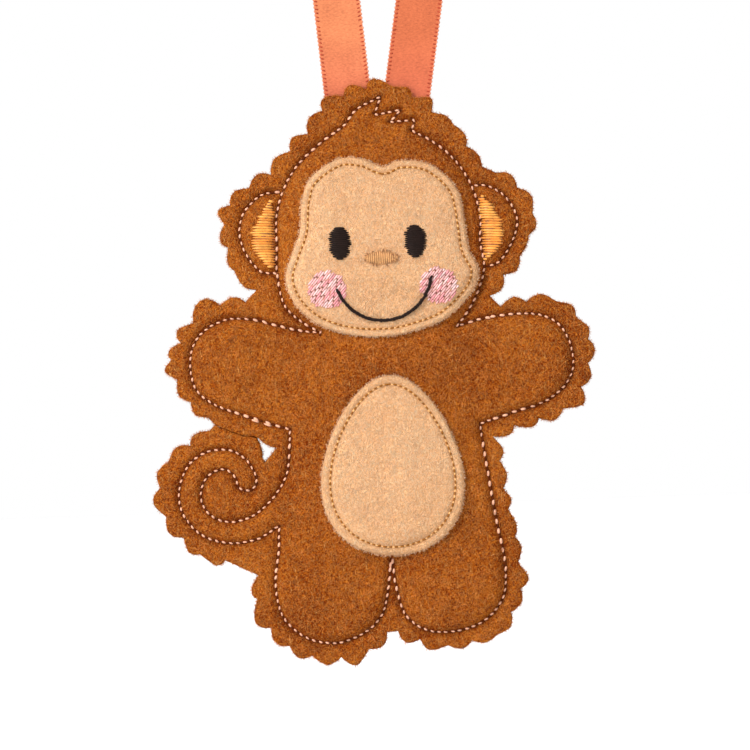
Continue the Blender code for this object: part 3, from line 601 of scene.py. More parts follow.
def vertex_normals(points, faces):
    a, b, c = (points[faces[:, k]] for k in range(3))
    n = np.cross(b - a, c - a)
    total = np.zeros_like(points)
    for k in range(3):
        np.add.at(total, faces[:, k], n)
    return total / np.maximum(np.linalg.norm(total, axis=1)[:, None], 1e-12)


def sheet_piece(name, faces, outer, inner, outer_normals, inner_normals, material, press_and_groove_shade):
    """A closed sheet: the given triangles as outer face, the same moved inwards, and walls between.
    Its point attribute, from 0 to 1, says where stitches press the sheet and where the felt material paints
    shade into the groove beside them."""
    used = np.unique(faces)
    renumber = np.full(len(outer), -1)
    renumber[used] = np.arange(len(used))
    f = renumber[faces]
    count = len(used)
    edges = {}
    for tri in f.tolist():
        for i in range(3):
            edges[(tri[i], tri[(i + 1) % 3])] = True
    rim = [e for e in edges if (e[1], e[0]) not in edges]
    all_faces = f.tolist() + (f[:, ::-1] + count).tolist() + [(b, a, a + count, b + count) for a, b in rim]
    vertices = np.vstack([outer[used], inner[used]])
    rim_normals = {}
    for a, b in rim:
        d = vertices[b] - vertices[a]
        n = np.cross(d, outer_normals[used[a]])
        n = n / max(np.linalg.norm(n), 1e-9)
        rim_normals[a] = rim_normals.get(a, 0) + n
        rim_normals[b] = rim_normals.get(b, 0) + n
    loops = np.vstack([
        outer_normals[used][f.ravel()], inner_normals[used][f[:, ::-1].ravel()],
        np.array([rim_normals[i] for a, b in rim for i in (b, a, a, b)]),
    ])
    loops /= np.maximum(np.linalg.norm(loops, axis=1)[:, None], 1e-9)
    obj = new_object(name, vertices, all_faces, [material], normals=loops.tolist())
    attribute = obj.data.attributes.new("press_and_groove_shade", "FLOAT", "POINT")
    attribute.data.foreach_set("value", np.tile(press_and_groove_shade[used], 2).astype(np.float32))
    return obj


def tube(points, radii, sides, up, flat=1.0):
    """Vertices and faces of a capped tube along a path, flattened along up."""
    points, radii = np.asarray(points, float), np.broadcast_to(radii, len(points))
    t = tangents(points)
    side = np.cross(t, up)
    side /= np.maximum(np.linalg.norm(side, axis=1)[:, None], 1e-9)
    top = np.cross(side, t)
    a = np.linspace(0, 2 * math.pi, sides, endpoint=False)
    ring = side[:, None] * np.cos(a)[None, :, None] + flat * top[:, None] * np.sin(a)[None, :, None]
    vertices = (points[:, None] + radii[:, None, None] * ring).reshape(-1, 3)
    faces = []
    for k in range(len(points) - 1):
        for i in range(sides):
            j = (i + 1) % sides
            faces.append((k * sides + i, (k + 1) * sides + i, (k + 1) * sides + j, k * sides + j))
    faces.append(tuple(range(sides)))
    last = (len(points) - 1) * sides
    faces.append(tuple(last + i for i in reversed(range(sides))))
    return vertices, faces


class Threads:
    """Many tubes gathered into one mesh."""

    def __init__(self):
        self.vertices, self.faces, self.materials, self.count = [], [], [], 0

    def add(self, points, radii, sides, up, flat=1.0, material=0):
        v, f = tube(points, radii, sides, up, flat)
        self.vertices.append(v)
        self.faces += [tuple(i + self.count for i in face) for face in f]
        self.materials += [material] * len(f)
        self.count += len(v)

    def bead(self, centre, direction, up, length, radius, flat=0.8, material=0):
        """A grain of thread: fat in the middle and round at its ends."""
        s = np.array([-1.0, -0.8, -0.45, 0.0, 0.45, 0.8, 1.0])
        girth = np.array([0.25, 0.68, 0.95, 1.0, 0.95, 0.68, 0.25])
        d = direction / np.linalg.norm(direction)
        path = centre + s[:, None] * d * length / 2 + (1 - s[:, None] ** 2) * 0.12 * length * np.array(up)
        self.add(path, girth * radius, 7, up, flat, material)

    def build(self, name, materials):
        return new_object(name, np.vstack(self.vertices), self.faces, materials, self.materials)


# ---------------------------------------------------------------- materials

class Nodes:
    """Short names for the shader nodes that the materials use."""

    def __init__(self, name):
        self.material = bpy.data.materials.new(name)
        self.material.use_nodes = True
        self.tree = self.material.node_tree
        self.principled = self.tree.nodes["Principled BSDF"]
        coords = self.tree.nodes.new("ShaderNodeTexCoord")
        self.mm = self.mapping(coords.outputs["Object"], scale=(1000, 1000, 1000))

    def link(self, value, socket):
        if isinstance(value, (int, float, tuple)):
            socket.default_value = value
        else:
            self.tree.links.new(value, socket)

    def mapping(self, vector, scale=(1, 1, 1), turn=(0, 0, 0)):
        node = self.tree.nodes.new("ShaderNodeMapping")
        node.inputs["Scale"].default_value = scale
        node.inputs["Rotation"].default_value = [math.radians(a) for a in turn]
        self.tree.links.new(vector, node.inputs["Vector"])
        return node.outputs["Vector"]

    def noise(self, scale, detail=3.0, roughness=0.55, distortion=0.0, vector=None):
        node = self.tree.nodes.new("ShaderNodeTexNoise")
        node.inputs["Scale"].default_value = scale
        node.inputs["Detail"].default_value = detail
        node.inputs["Roughness"].default_value = roughness
        node.inputs["Distortion"].default_value = distortion
        self.tree.links.new(vector or self.mm, node.inputs["Vector"])
        return node.outputs["Fac"]

    def ramp(self, value, *stops):
        node = self.tree.nodes.new("ShaderNodeValToRGB")
        elements = node.color_ramp.elements
        while len(elements) < len(stops):
            elements.new(0.5)
        for element, (at, colour) in zip(elements, stops):
            element.position = at
            element.color = (*colour, 1.0) if len(colour) == 3 else colour
        self.tree.links.new(value, node.inputs["Fac"])
        return node.outputs["Color"]

    def spread(self, value, low, high):
        """0 to 1 as value goes from low to high."""
        node = self.tree.nodes.new("ShaderNodeMapRange")
        node.inputs["From Min"].default_value = low
        node.inputs["From Max"].default_value = high
        self.link(value, node.inputs["Value"])
        return node.outputs["Result"]

    def axis(self, name):
        """One coordinate of the shaded point, in millimetres."""
        node = self.tree.nodes.new("ShaderNodeSeparateXYZ")
        self.tree.links.new(self.mm, node.inputs["Vector"])
        return node.outputs[name]

    def attribute(self, name):
        node = self.tree.nodes.new("ShaderNodeAttribute")
        node.attribute_name = name
        return node.outputs["Fac"]

    def math(self, operation, a, b=0.0):
        node = self.tree.nodes.new("ShaderNodeMath")
        node.operation = operation
        self.link(a, node.inputs[0])
        self.link(b, node.inputs[1])
        return node.outputs["Value"]

    def mix(self, share, a, b, blend="MIX"):
        node = self.tree.nodes.new("ShaderNodeMix")
        node.data_type = "RGBA"
        node.blend_type = blend
        self.link(share, node.inputs["Factor"])
        self.link(a if not isinstance(a, tuple) else (*a, 1.0), node.inputs[6])
        self.link(b if not isinstance(b, tuple) else (*b, 1.0), node.inputs[7])
        return node.outputs[2]

    def finish(self, colour, roughness, bump=None, bump_mm=0.1, **inputs):
        p = self.principled
        self.link(colour if not isinstance(colour, tuple) else (*colour, 1.0), p.inputs["Base Color"])
        self.link(roughness, p.inputs["Roughness"])
        if bump is not None:
            node = self.tree.nodes.new("ShaderNodeBump")
            node.inputs["Distance"].default_value = bump_mm * MM
            node.inputs["Strength"].default_value = 1.0
            self.tree.links.new(bump, node.inputs["Height"])
            self.tree.links.new(node.outputs["Normal"], p.inputs["Normal"])
        for key, value in inputs.items():
            self.link(value, p.inputs[key.replace("_", " ")])
        return self.material


def felt_material(name, dark, mid, light, fleck_and_sheen, press_and_groove_shade, contrast=1.0):
    """Needled felt: matted fibres in every direction, in lighter streaks that are partly the fibres' own tone
    and partly painted sheen, and darker where stitches press it, partly denser felt and partly painted shade
    in the groove.
    """
    n = Nodes(name)
    streaks = None
    for angle, stretch in ((22, 0.9), (68, 1.2), (93, 0.75), (121, 1.05)):
        turned = n.mapping(n.mapping(n.mm, turn=(0, angle, 0)), scale=(0.8 * stretch, 0.8, 5.5 * stretch))
        streak = n.noise(1.0, 2.0, 0.6, 1.4, turned)
        streaks = streak if streaks is None else n.math("MAXIMUM", streaks, streak)
    fibres = n.spread(streaks, 0.60, 0.72)
    grain = n.noise(2.7, 2.0, 0.7, 0.8)
    clumps = n.noise(0.8, 3.0, 0.6, 0.5)
    broad = n.noise(0.07, 2.0, 0.5)
    tone = n.math("ADD", n.math("MULTIPLY", grain, 0.8), n.math("MULTIPLY", clumps, 0.2))
    tone = n.math("ADD", tone, n.math("MULTIPLY", n.math("SUBTRACT", broad, 0.5), 0.22))
    spread = 0.15 / contrast
    colour = n.ramp(n.spread(tone, 0.5 - spread, 0.5 + spread), (0.0, dark), (0.5, mid), (1.0, light))
    # Light fibre streaks: partly the felt's own fibre tone, partly a painted sheen where fibres would catch
    # the light.
    colour = n.mix(n.math("MULTIPLY", fibres, 0.8), colour, fleck_and_sheen)
    # Darker beside the seams: partly denser pressed felt, partly painted shade in the stitched groove.
    colour = n.mix(n.math("MULTIPLY", n.attribute("press_and_groove_shade"), 0.75), colour, press_and_groove_shade)
    height = n.math("ADD", n.math("MULTIPLY", fibres, 0.45), n.math("MULTIPLY", grain, 1.6))
    return n.finish(colour, 0.95, height, 0.42, Sheen_Weight=0.06, Sheen_Roughness=0.6,
                    Sheen_Tint=(*light, 1.0), Specular_IOR_Level=0.04)


def thread_material(name, colour, roughness=0.42, gloss=0.4, variation=0.25, sheen=0.12):
    """Shiny embroidery thread: fine filaments along its length, uneven in tone."""
    n = Nodes(name)
    filaments = n.noise(7.0, 2.0, 0.6, 0.4)
    patches = n.noise(0.8, 2.0, 0.5)
    tone = n.math("ADD", n.math("MULTIPLY", filaments, 0.6), n.math("MULTIPLY", patches, 0.4))
    darker = tuple(c * (1 - variation * 1.6) for c in colour)
    lighter = tuple(min(1.0, c * (1 + variation)) for c in colour)
    shade = n.ramp(n.spread(tone, 0.35, 0.65), (0.0, darker), (0.5, colour), (1.0, lighter))
    return n.finish(shade, roughness, filaments, 0.05, Specular_IOR_Level=gloss, Sheen_Weight=sheen)


def ribbon_material(name, left, right, shade_and_felt_reflection):
    """Satin with fine crosswise ribs, with a painted sheen in patches. One strand is deeper in tone, and both
    redden towards the felt as painted shade and painted reflection of the felt.
    """
    n = Nodes(name)
    fine = n.noise(1.0, 2.0, 0.6, 0.3, n.mapping(n.mm, scale=(1.6, 1.6, 3.4)))
    patches = n.noise(0.22, 2.0, 0.5)
    tone = n.math("ADD", n.math("MULTIPLY", fine, 0.7), n.math("MULTIPLY", patches, 0.3))
    colour = n.mix(n.spread(n.axis("X"), -2.0, 2.0), left, right)
    # Painted shade and painted reflection of the red-brown felt: redder from 88 mm down to 75 mm.
    colour = n.mix(n.math("MULTIPLY", n.spread(n.axis("Z"), 88.0, 75.0), 0.7), colour, shade_and_felt_reflection)
    # Painted sheen: lighter and whiter in some ribs and patches, duller in others.
    sheen = n.ramp(n.spread(tone, 0.34, 0.66), (0.0, (0.80, 0.76, 0.74)), (0.5, (1.0, 1.0, 1.0)),
                   (1.0, (1.14, 1.22, 1.25)))
    shade = n.mix(1.0, colour, sheen, "MULTIPLY")
    return n.finish(shade, 0.45, fine, 0.05, Specular_IOR_Level=0.3, Sheen_Weight=0.08)


def fibrefill_material():
    n = Nodes("fibrefill")
    fibres = n.noise(1.3, 6.0, 0.75, 2.0)
    shade = n.ramp(fibres, (0.3, (0.62, 0.61, 0.58)), (0.7, (0.92, 0.91, 0.88)))
    return n.finish(shade, 0.95, fibres, 0.4, Sheen_Weight=0.4)


# In each felt, the fourth colour is its light fibre streaks, partly painted sheen, and the fifth is the
# painted shade, with the denser pressed felt, of its seam grooves.
BROWN = felt_material("brown_felt", (0.155, 0.017, 0.001), (0.36, 0.071, 0.004), (0.60, 0.18, 0.02),
                      (0.94, 0.43, 0.12), (0.11, 0.011, 0.001), 1.4)
BROWN_FIBRE = thread_material("brown_fibre", (0.64, 0.20, 0.03), 0.8, 0.1, 0.5)
PEACH = felt_material("peach_felt", (0.80, 0.39, 0.17), (0.97, 0.52, 0.25), (1.0, 0.64, 0.36),
                      (1.0, 0.76, 0.50), (0.54, 0.21, 0.06), 1.1)
PEACH_FIBRE = thread_material("peach_fibre", (0.96, 0.61, 0.36), 0.8, 0.1, 0.15)
OUTLINE = thread_material("outline_thread", (0.82, 0.42, 0.26))
MAROON = thread_material("outline_dark_grain", (0.095, 0.018, 0.003), 0.7, 0.05, 0.25, 0.0)
OCHRE = thread_material("applique_thread", (0.31, 0.11, 0.015), 0.6, 0.1, 0.25, 0.02)
PEACH_THREAD = thread_material("applique_thread_light", (0.86, 0.46, 0.17), 0.45)
DARK = thread_material("dark_thread", (0.014, 0.006, 0.004), 0.45, 0.12, 0.3, 0.02)
NOSE_THREAD = thread_material("nose_thread", (0.58, 0.28, 0.10), 0.4)
NOSE_SHADE = thread_material("nose_thread_shade", (0.30, 0.11, 0.03), 0.45)
CHEEK = thread_material("cheek_thread", (0.84, 0.44, 0.42), 0.4)
CHEEK_PALE = thread_material("cheek_thread_pale", (0.86, 0.56, 0.54), 0.4)
CHEEK_DEEP = thread_material("cheek_thread_deep", (0.77, 0.29, 0.31), 0.4)
# Painted shade of needle holes in filled stitching and of gaps between satin rows.
HOLE_AND_GAP_SHADE = thread_material("hole_and_gap_shade", (0.16, 0.04, 0.04), 0.7, 0.1)
GOLD = thread_material("ear_thread", (0.86, 0.36, 0.055), 0.35, 0.45)
GOLD_SHADE = thread_material("ear_thread_shade", (0.80, 0.28, 0.035), 0.4, 0.35)
# The satin's third colour is its painted shade and reflection of the felt near the sewn-in ends.
SATIN = ribbon_material("ribbon_satin", (0.64, 0.187, 0.072), (0.56, 0.128, 0.045),
                        (0.60, 0.125, 0.060))
SATIN_EDGE = thread_material("ribbon_edge", (0.42, 0.055, 0.022), 0.5, 0.2, 0.3, 0.03)
SATIN_PICOT = thread_material("ribbon_edge_light", (0.72, 0.26, 0.14), 0.5)
FILL = fibrefill_material()


# ---------------------------------------------------------------- felt

FRONT, BACK = Surface(True), Surface(False)
# Each limb's fold line, and the side of it that the limb lies on.
LIMBS = {"left_arm": (LEFT_ARM_FOLD, -1), "right_arm": (RIGHT_ARM_FOLD, 1), "legs": (HIP_FOLD, 1)}
LIMB_OF = {"left_arm": "left_arm", "right_arm": "right_arm", "left_leg": "legs", "right_leg": "legs"}


def bend_limb(obj):
    """Bakes the piece's placement into its mesh."""
    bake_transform(obj)


def attach(obj, slot, part, *nodes):
    """Replaces CAD nodes by hiding them, and rides on the body, or on a limb has its placement baked."""
    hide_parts(*nodes)
    if part in LIMBS:
        bend_limb(obj)
    else:
        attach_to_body(obj, "monkey_body")


def felt_panel(surface, side_name):
    rim = list(surface.runs.values())
    folds = [resampled(f, 0.8) for f in (LEFT_ARM_FOLD, RIGHT_ARM_FOLD, HIP_FOLD)]
    rim_points = np.vstack(rim + folds)
    seam_rows = edge_rows(ALL_SEAMS, (0.0, 0.45, -0.45, 1.0, -1.0))
    near_edge = edge_rows(rim, (0.22, 0.55))
    low, high = rim_points.min(axis=0), rim_points.max(axis=0)
    spots = np.vstack([near_edge, seam_rows, hex_points(low, high, 0.85)])

    def felt(points):
        found = np.zeros(len(points), bool)
        for loop in surface.regions.values():
            found |= inside(loop, points)
        return found

    spots = spots[felt(spots)]
    spots = spots[distance_to(rim, spots) > 0.16]
    spots = thin_out(spots, 0.36, np.vstack(folds))
    flat, faces = triangulate(rim + folds, spots, felt)
    rounding = rounded(distance_to(rim, flat), 0.6)
    height = surface.height(flat)
    seam_distance = distance_to(ALL_SEAMS, flat)
    padded = padded_area(flat)
    gap = np.where(padded, 0.004, 0.004 + 0.1 * np.clip(seam_distance / 4.0, 0, 1))
    gap += 0.25 * np.clip((flat[:, 1] - RIBBON_SEWN_END_Z + 0.5) / 1.5, 0, 1)
    inner_height = np.where(padded, np.maximum(height - FELT_THICKNESS, gap), gap)
    outer = surface.place(flat, height - 0.42 * (1 - rounding))
    inner = surface.place(flat, inner_height + 0.06 * (1 - rounding))
    if not surface.front:
        faces = faces[:, ::-1]
    outer_normals, inner_normals = vertex_normals(outer, faces), -vertex_normals(inner, faces)
    middles = flat[faces].mean(axis=1)
    # Weight of the pressed felt and painted groove shade beside the seams, reaching further on the flat
    # margin than on the stuffed side.
    reach = np.where(padded, 0.4, 0.75)
    press_and_groove_shade = np.exp(-((seam_distance / reach) ** 2))
    for part, loop in surface.regions.items():
        chosen = faces[inside(loop, middles)]
        piece = sheet_piece(f"{side_name}_felt_{part}_skin", chosen, outer, inner, outer_normals,
                            inner_normals, BROWN, press_and_groove_shade)
        attach(piece, "brown_felt", part, f"{side_name}_felt_{part}")


def applique(name, loop, seam):
    """A felt patch sewn on the front, lying on the brown felt and sunk along its stitches, with painted shade
    in that groove.
    """
    rim = closed_line(loop)
    low, high = loop.min(axis=0), loop.max(axis=0)
    near_edge = np.vstack([inset_line(loop, d) for d in (0.16, 0.4, 0.75)])
    rows = np.vstack([inset_line(seam, d) for d in (0.0, 0.4, -0.4)])
    spots = np.vstack([near_edge, rows, hex_points(low, high, 0.7)])
    spots = spots[inside(loop, spots)]
    spots = spots[distance_to([rim], spots) > 0.1]
    spots = thin_out(spots, 0.3, loop[:0])
    flat, faces = triangulate([rim], spots, lambda p: inside(loop, p))
    seam_distance = distance_to([closed_line(seam)], flat)
    rounding = rounded(distance_to([rim], flat), 0.7)
    base = FRONT.height(flat) + 0.02
    dip = APPLIQUE_DIP * np.exp(-((seam_distance / 0.55) ** 2))
    lift = APPLIQUE_THICKNESS * (0.35 + 0.65 * rounding) - dip
    lift += 0.05 * rough(flat, 1.4, 21.0) + 0.10 * rough(flat, 5.0, 25.0) * np.clip(seam_distance / 2, 0, 1)
    outer, inner = FRONT.place(flat, base + lift), FRONT.place(flat, base)
    # Painted shade, with pressed felt, in the groove along the applique's stitches.
    press_and_groove_shade = 0.6 * np.exp(-((seam_distance / 0.4) ** 2))
    piece = sheet_piece(f"{name}_applique_skin", faces, outer, inner, vertex_normals(outer, faces),
                        -vertex_normals(inner, faces), PEACH, press_and_groove_shade)
    attach(piece, "peach_felt", "body", f"{name}_applique")
    return BVHTree.FromPolygons([tuple(p) for p in outer], faces.tolist())


FACE = smooth_line(FACE_EDGE, 0.5, closed=True)
FACE_SEAM = inset_line(FACE, 1.45)
TUMMY = egg(0.0, 220)
TUMMY_SEAM = egg(1.75, 200)
UP = np.array([0.0, -1.0, 0.0])


def on_tree(tree, points):
    """3D points on an applique's surface."""
    out = []
    for x, z in np.atleast_2d(points):
        hit = tree.ray_cast(Vector((x, -60.0, z)), Vector((0.0, 1.0, 0.0)))[0]
        out.append(tuple(hit) if hit is not None else tuple(FRONT.place((x, z), FRONT.height((x, z)))[0]))
    return np.array(out)


def needle_marks(line):
    """Where the needle goes in along a line, and the pitch there."""
    spots = resampled(line, 0.5)
    direction = tangents(spots)
    angle = np.unwrap(np.arctan2(direction[:, 1], direction[:, 0]))
    last = len(spots) - 1
    marks, pitches, at = [], [], 0.4
    length = last * 0.5
    while at < length:
        k = int(at / 0.5)
        bend = abs(angle[min(k + 5, last)] - angle[max(k - 5, 0)]) / 5.0
        pitch = float(np.clip(LONG_PITCH - 10.0 * bend, SHORT_PITCH, LONG_PITCH)) * RNG.uniform(0.95, 1.05)
        marks.append(at)
        pitches.append(pitch)
        at += pitch
    along = np.linspace(0.0, length, last + 1)
    return sampled(spots, along, marks), sampled(direction, along, marks), np.array(pitches)


def slanted(run, up, degrees):
    """A flat direction in 3D, turned on the felt's face."""
    d = np.array([run[0], 0.0, run[1]])
    turn = math.radians(degrees)
    return d * math.cos(turn) + np.cross(d, up) * math.sin(turn)


TIE_OFF = (-25.0, 10.5)


def outline_stitches():
    """Rows of light grains of thread with smaller dark grains between them, in the groove of each seam."""
    for name, lines in seam_runs().items():
        for surface, side, up in ((FRONT, "needle", UP), (BACK, "bobbin", -UP)):
            threads = Threads()
            for line in lines:
                where, heading, pitches = needle_marks(line)
                place = surface.place(where, surface.height(where))
                between = where + heading * pitches[:, None] / 2
                low_place = surface.place(between, surface.height(between))
                for k, pitch in enumerate(pitches):
                    d = np.array([heading[k, 0], 0.0, heading[k, 1]])
                    grain = slanted(heading[k], up, RNG.uniform(4, 18))
                    wobble = np.array([RNG.uniform(-0.05, 0.05), 0.0, RNG.uniform(-0.05, 0.05)])
                    radius = 0.145 * pitch * RNG.uniform(0.88, 1.08)
                    threads.bead(place[k] + wobble + 0.16 * up, grain, up, 0.56 * pitch, radius)
                    if math.dist(where[k], TIE_OFF) < 2.6:
                        aside = 0.36 * np.cross(d, up)
                        threads.bead(place[k] + aside + 0.2 * up, d, up, 0.8 * pitch, radius * 0.8)
                    threads.bead(low_place[k] + 0.04 * up, d, up, 0.6 * pitch, 0.24, 0.7, 1)
            obj = threads.build(f"{side}_stitches_{name}", [OUTLINE, MAROON])
            attach(obj, "outline_thread", LIMB_OF.get(name, "body"), f"{side}_thread_{name}")


def applique_stitches(name, tree, seam):
    """Dark dashes sunk into the felt, with the thread's lighter twist between them."""
    threads = Threads()
    line = resampled(closed_line(seam), APPLIQUE_PITCH / 2)[:-1]
    place = on_tree(tree, line)
    direction = tangents(line, True)
    for k in range(len(line)):
        d = slanted(direction[k], UP, RNG.uniform(-12, 12))
        if k % 2 == 0:
            length, radius = RNG.uniform(0.62, 0.85), RNG.uniform(0.17, 0.21)
            threads.bead(place[k] + 0.10 * UP, d, UP, length, radius, 0.7)
        else:
            threads.bead(place[k] + 0.01 * UP, d, UP, 0.7, 0.17, 0.7, 1)
    obj = threads.build(f"{name}_stitches", [OCHRE, PEACH_THREAD])
    attach(obj, "applique_thread", "body", f"{name}_stitching")


def satin_rows(name, node, loop, angle, pitch, radius, materials, slot, surface_points, ragged,
               crown, stitch=None, gaps=0.0):
    """Satin stitch: side by side threads across a shape, each from edge to edge, raised in the middle.
    With stitch set, long rows are broken into stitches of about that length, as in a filled area, and the
    last material is painted shade for the needle holes between them. With gaps set, that share of the rows
    has a dark gap beside it, painted shade in the last material."""
    a = math.radians(angle)
    along, across = np.array([math.cos(a), math.sin(a)]), np.array([-math.sin(a), math.cos(a)])
    centre = loop.mean(axis=0)
    rel = loop - centre
    u, v = rel @ along, rel @ across
    threads = Threads()
    colours = len(materials) - 1 if stitch or gaps else len(materials)
    rows = np.arange(v.min() + pitch * 0.5, v.max(), pitch)
    for row, at in enumerate(rows):
        crossings = []
        for i in range(len(loop)):
            j = (i + 1) % len(loop)
            if (v[i] - at) * (v[j] - at) < 0:
                crossings.append(u[i] + (at - v[i]) / (v[j] - v[i]) * (u[j] - u[i]))
        if len(crossings) < 2:
            continue
        start = min(crossings) - RNG.uniform(-ragged, ragged)
        end = max(crossings) + RNG.uniform(-ragged, ragged)
        if end - start < 0.5:
            continue
        cuts = [start, end]
        if stitch:
            first = start + stitch * (0.35 + 0.5 * (row % 2)) * RNG.uniform(0.85, 1.15)
            cuts = [start, *np.arange(first, end - 0.5, stitch), end]
        # Painted shade: a dark tube in the gap beside this row.
        if RNG.random() < gaps:
            share = np.sort(RNG.uniform(0.08, 0.92, 2)) if end - start > 1.5 else np.array([0.2, 0.8])
            t = np.linspace(*share, 5)
            flat = centre + (start + (end - start) * t)[:, None] * along + (at + pitch / 2) * across
            arch = crown * np.sqrt(np.clip(1 - (2 * t - 1) ** 2, 0, 1))
            path = surface_points(flat) + (arch + 0.17)[:, None] * UP
            threads.add(path, 0.085 * np.array([0.4, 1, 1, 1, 0.4]), 6, UP, 0.8, len(materials) - 1)
        # Painted shade in some of the needle holes between the stitches.
        for cut in cuts[1:-1]:
            hole = surface_points(centre + cut * along + at * across)[0] + (crown + 0.12) * UP
            if RNG.random() < 0.45:
                threads.bead(hole, slanted(along, UP, 0), UP, 0.34, 0.12, material=len(materials) - 1)
        for s0, s1 in zip(cuts, cuts[1:]):
            t = np.linspace(0.0, 1.0, 7)
            lean = RNG.uniform(-0.12, 0.12) * pitch
            flat = centre + (s0 + (s1 - s0) * t)[:, None] * along
            flat = flat + (at + lean * (2 * t - 1))[:, None] * across
            arch = crown * np.sqrt(np.clip(1 - (2 * t - 1) ** 2, 0, 1))
            path = surface_points(flat) + (arch + 0.05)[:, None] * UP
            girth = radius * np.array([0.45, 0.85, 1.0, 1.0, 1.0, 0.85, 0.45])
            threads.add(path, girth, 6, UP, 0.75, int(RNG.integers(colours)))
    attach(threads.build(name, materials), slot, "body", node)


def fibre_mesh(name, start, end, bulge, radius, material):
    """Thin closed fibres, each pointed at both ends and bowed in the middle by its bulge."""
    run = end - start
    d = run / np.maximum(np.linalg.norm(run, axis=1)[:, None], 1e-9)
    a = np.cross(d, UP)
    a /= np.maximum(np.linalg.norm(a, axis=1)[:, None], 1e-9)
    b = np.cross(d, a)
    count = len(start)
    vertices = np.zeros((count, 8, 3))
    vertices[:, 0], vertices[:, 7] = start, end
    for ring, share in ((1, 0.33), (4, 0.7)):
        middle = start + share * run + bulge
        for k in range(3):
            turn = 2 * math.pi * k / 3
            vertices[:, ring + k] = middle + radius[:, None] * (a * math.cos(turn) + b * math.sin(turn))
    pattern = [(0, 2, 1), (0, 3, 2), (0, 1, 3), (1, 2, 5, 4), (2, 3, 6, 5), (3, 1, 4, 6),
               (7, 4, 5), (7, 5, 6), (7, 6, 4)]
    faces = [tuple(8 * i + k for k in face) for i in range(count) for face in pattern]
    return new_object(name, vertices.reshape(-1, 3), faces, [material])


def scattered(loop, per_mm2):
    low, high = loop.min(axis=0), loop.max(axis=0)
    count = int((high - low).prod() * per_mm2)
    spots = RNG.uniform(low, high, (count, 2))
    return spots[inside(loop, spots)]


def lying_fibres(spots, lift):
    """Flat start, end and bulge of fibres lying at random on felt; bulge is (x, z, up)."""
    count = len(spots)
    heading = RNG.uniform(0, 2 * math.pi, count)
    half = RNG.uniform(0.45, 1.1, count)
    reach = np.column_stack([np.cos(heading), np.sin(heading)]) * half[:, None]
    side = np.column_stack([-reach[:, 1], reach[:, 0]]) * RNG.uniform(-0.35, 0.35, count)[:, None]
    return spots - reach, spots + reach, side, RNG.uniform(0.4, 1.0, count) * lift


def edge_fibres(line, per_mm):
    """Flat start and end of short fibres standing out from a clockwise cut edge."""
    length = np.linalg.norm(np.diff(line, axis=0), axis=1).sum()
    count = int(length * per_mm)
    picked = RNG.uniform(0, len(line) - 1.001, count)
    k, f = picked.astype(int), (picked % 1)[:, None]
    root = line[k] * (1 - f) + line[k + 1] * f
    run = line[k + 1] - line[k]
    run /= np.maximum(np.linalg.norm(run, axis=1)[:, None], 1e-9)
    out = np.column_stack([-run[:, 1], run[:, 0]])
    lean = RNG.uniform(-1.1, 1.1, count)[:, None]
    heading = out * np.cos(lean) + run * np.sin(lean)
    return root - out * 0.15, root + heading * RNG.uniform(0.15, 0.6, count)[:, None]


FUZZ_PER_MM2, EDGE_FUZZ_PER_MM = 2.4, 7.0


def brown_fuzz(surface, side_name):
    """Loose fibres on the brown felt and along its cut edge."""
    covered = [closed_line(FACE), closed_line(TUMMY)] if surface.front else []
    up = UP if surface.front else -UP
    edges = {"body": ("head", "right_side", "tail"), "left_arm": ("left_arm",), "right_arm": ("right_arm",),
             "legs": ("legs",)}
    for part, loop in surface.regions.items():
        spots = scattered(loop, FUZZ_PER_MM2)
        for patch in covered:
            spots = spots[~inside(patch, spots)]
        first, last, side, lift = lying_fibres(spots, 0.16)
        good = inside(loop, first) & inside(loop, last)
        good &= distance_to(ALL_SEAMS, spots) > 0.45
        first, last, side, lift = first[good], last[good], side[good], lift[good]
        start = surface.place(first, surface.height(first) - 0.05)
        end = surface.place(last, surface.height(last) - 0.02)
        bulge = np.column_stack([side[:, 0], np.zeros(len(side)), side[:, 1]]) + lift[:, None] * up
        starts, ends, bulges = [start], [end], [bulge]
        for name in edges[part]:
            root, tip = edge_fibres(surface.runs[name], EDGE_FUZZ_PER_MM)
            free = np.ones(len(tip), bool)
            for other in surface.regions.values():
                free &= ~inside(other, tip)
            root, tip = root[free], tip[free]
            depth = RNG.uniform(0.1, 1.0, len(root))
            level = surface.height(root) - FELT_THICKNESS * depth * 0.8
            starts.append(surface.place(root, level - 0.1))
            ends.append(surface.place(tip, level - RNG.uniform(-0.2, 0.2, len(tip))))
            bulges.append(RNG.uniform(-0.08, 0.08, (len(root), 3)))
        start, end, bulge = np.vstack(starts), np.vstack(ends), np.vstack(bulges)
        obj = fibre_mesh(f"{side_name}_fuzz_{part}", start, end, bulge, RNG.uniform(0.022, 0.045, len(start)),
                         BROWN_FIBRE)
        attach(obj, "brown_felt", part, f"{side_name}_felt_{part}")


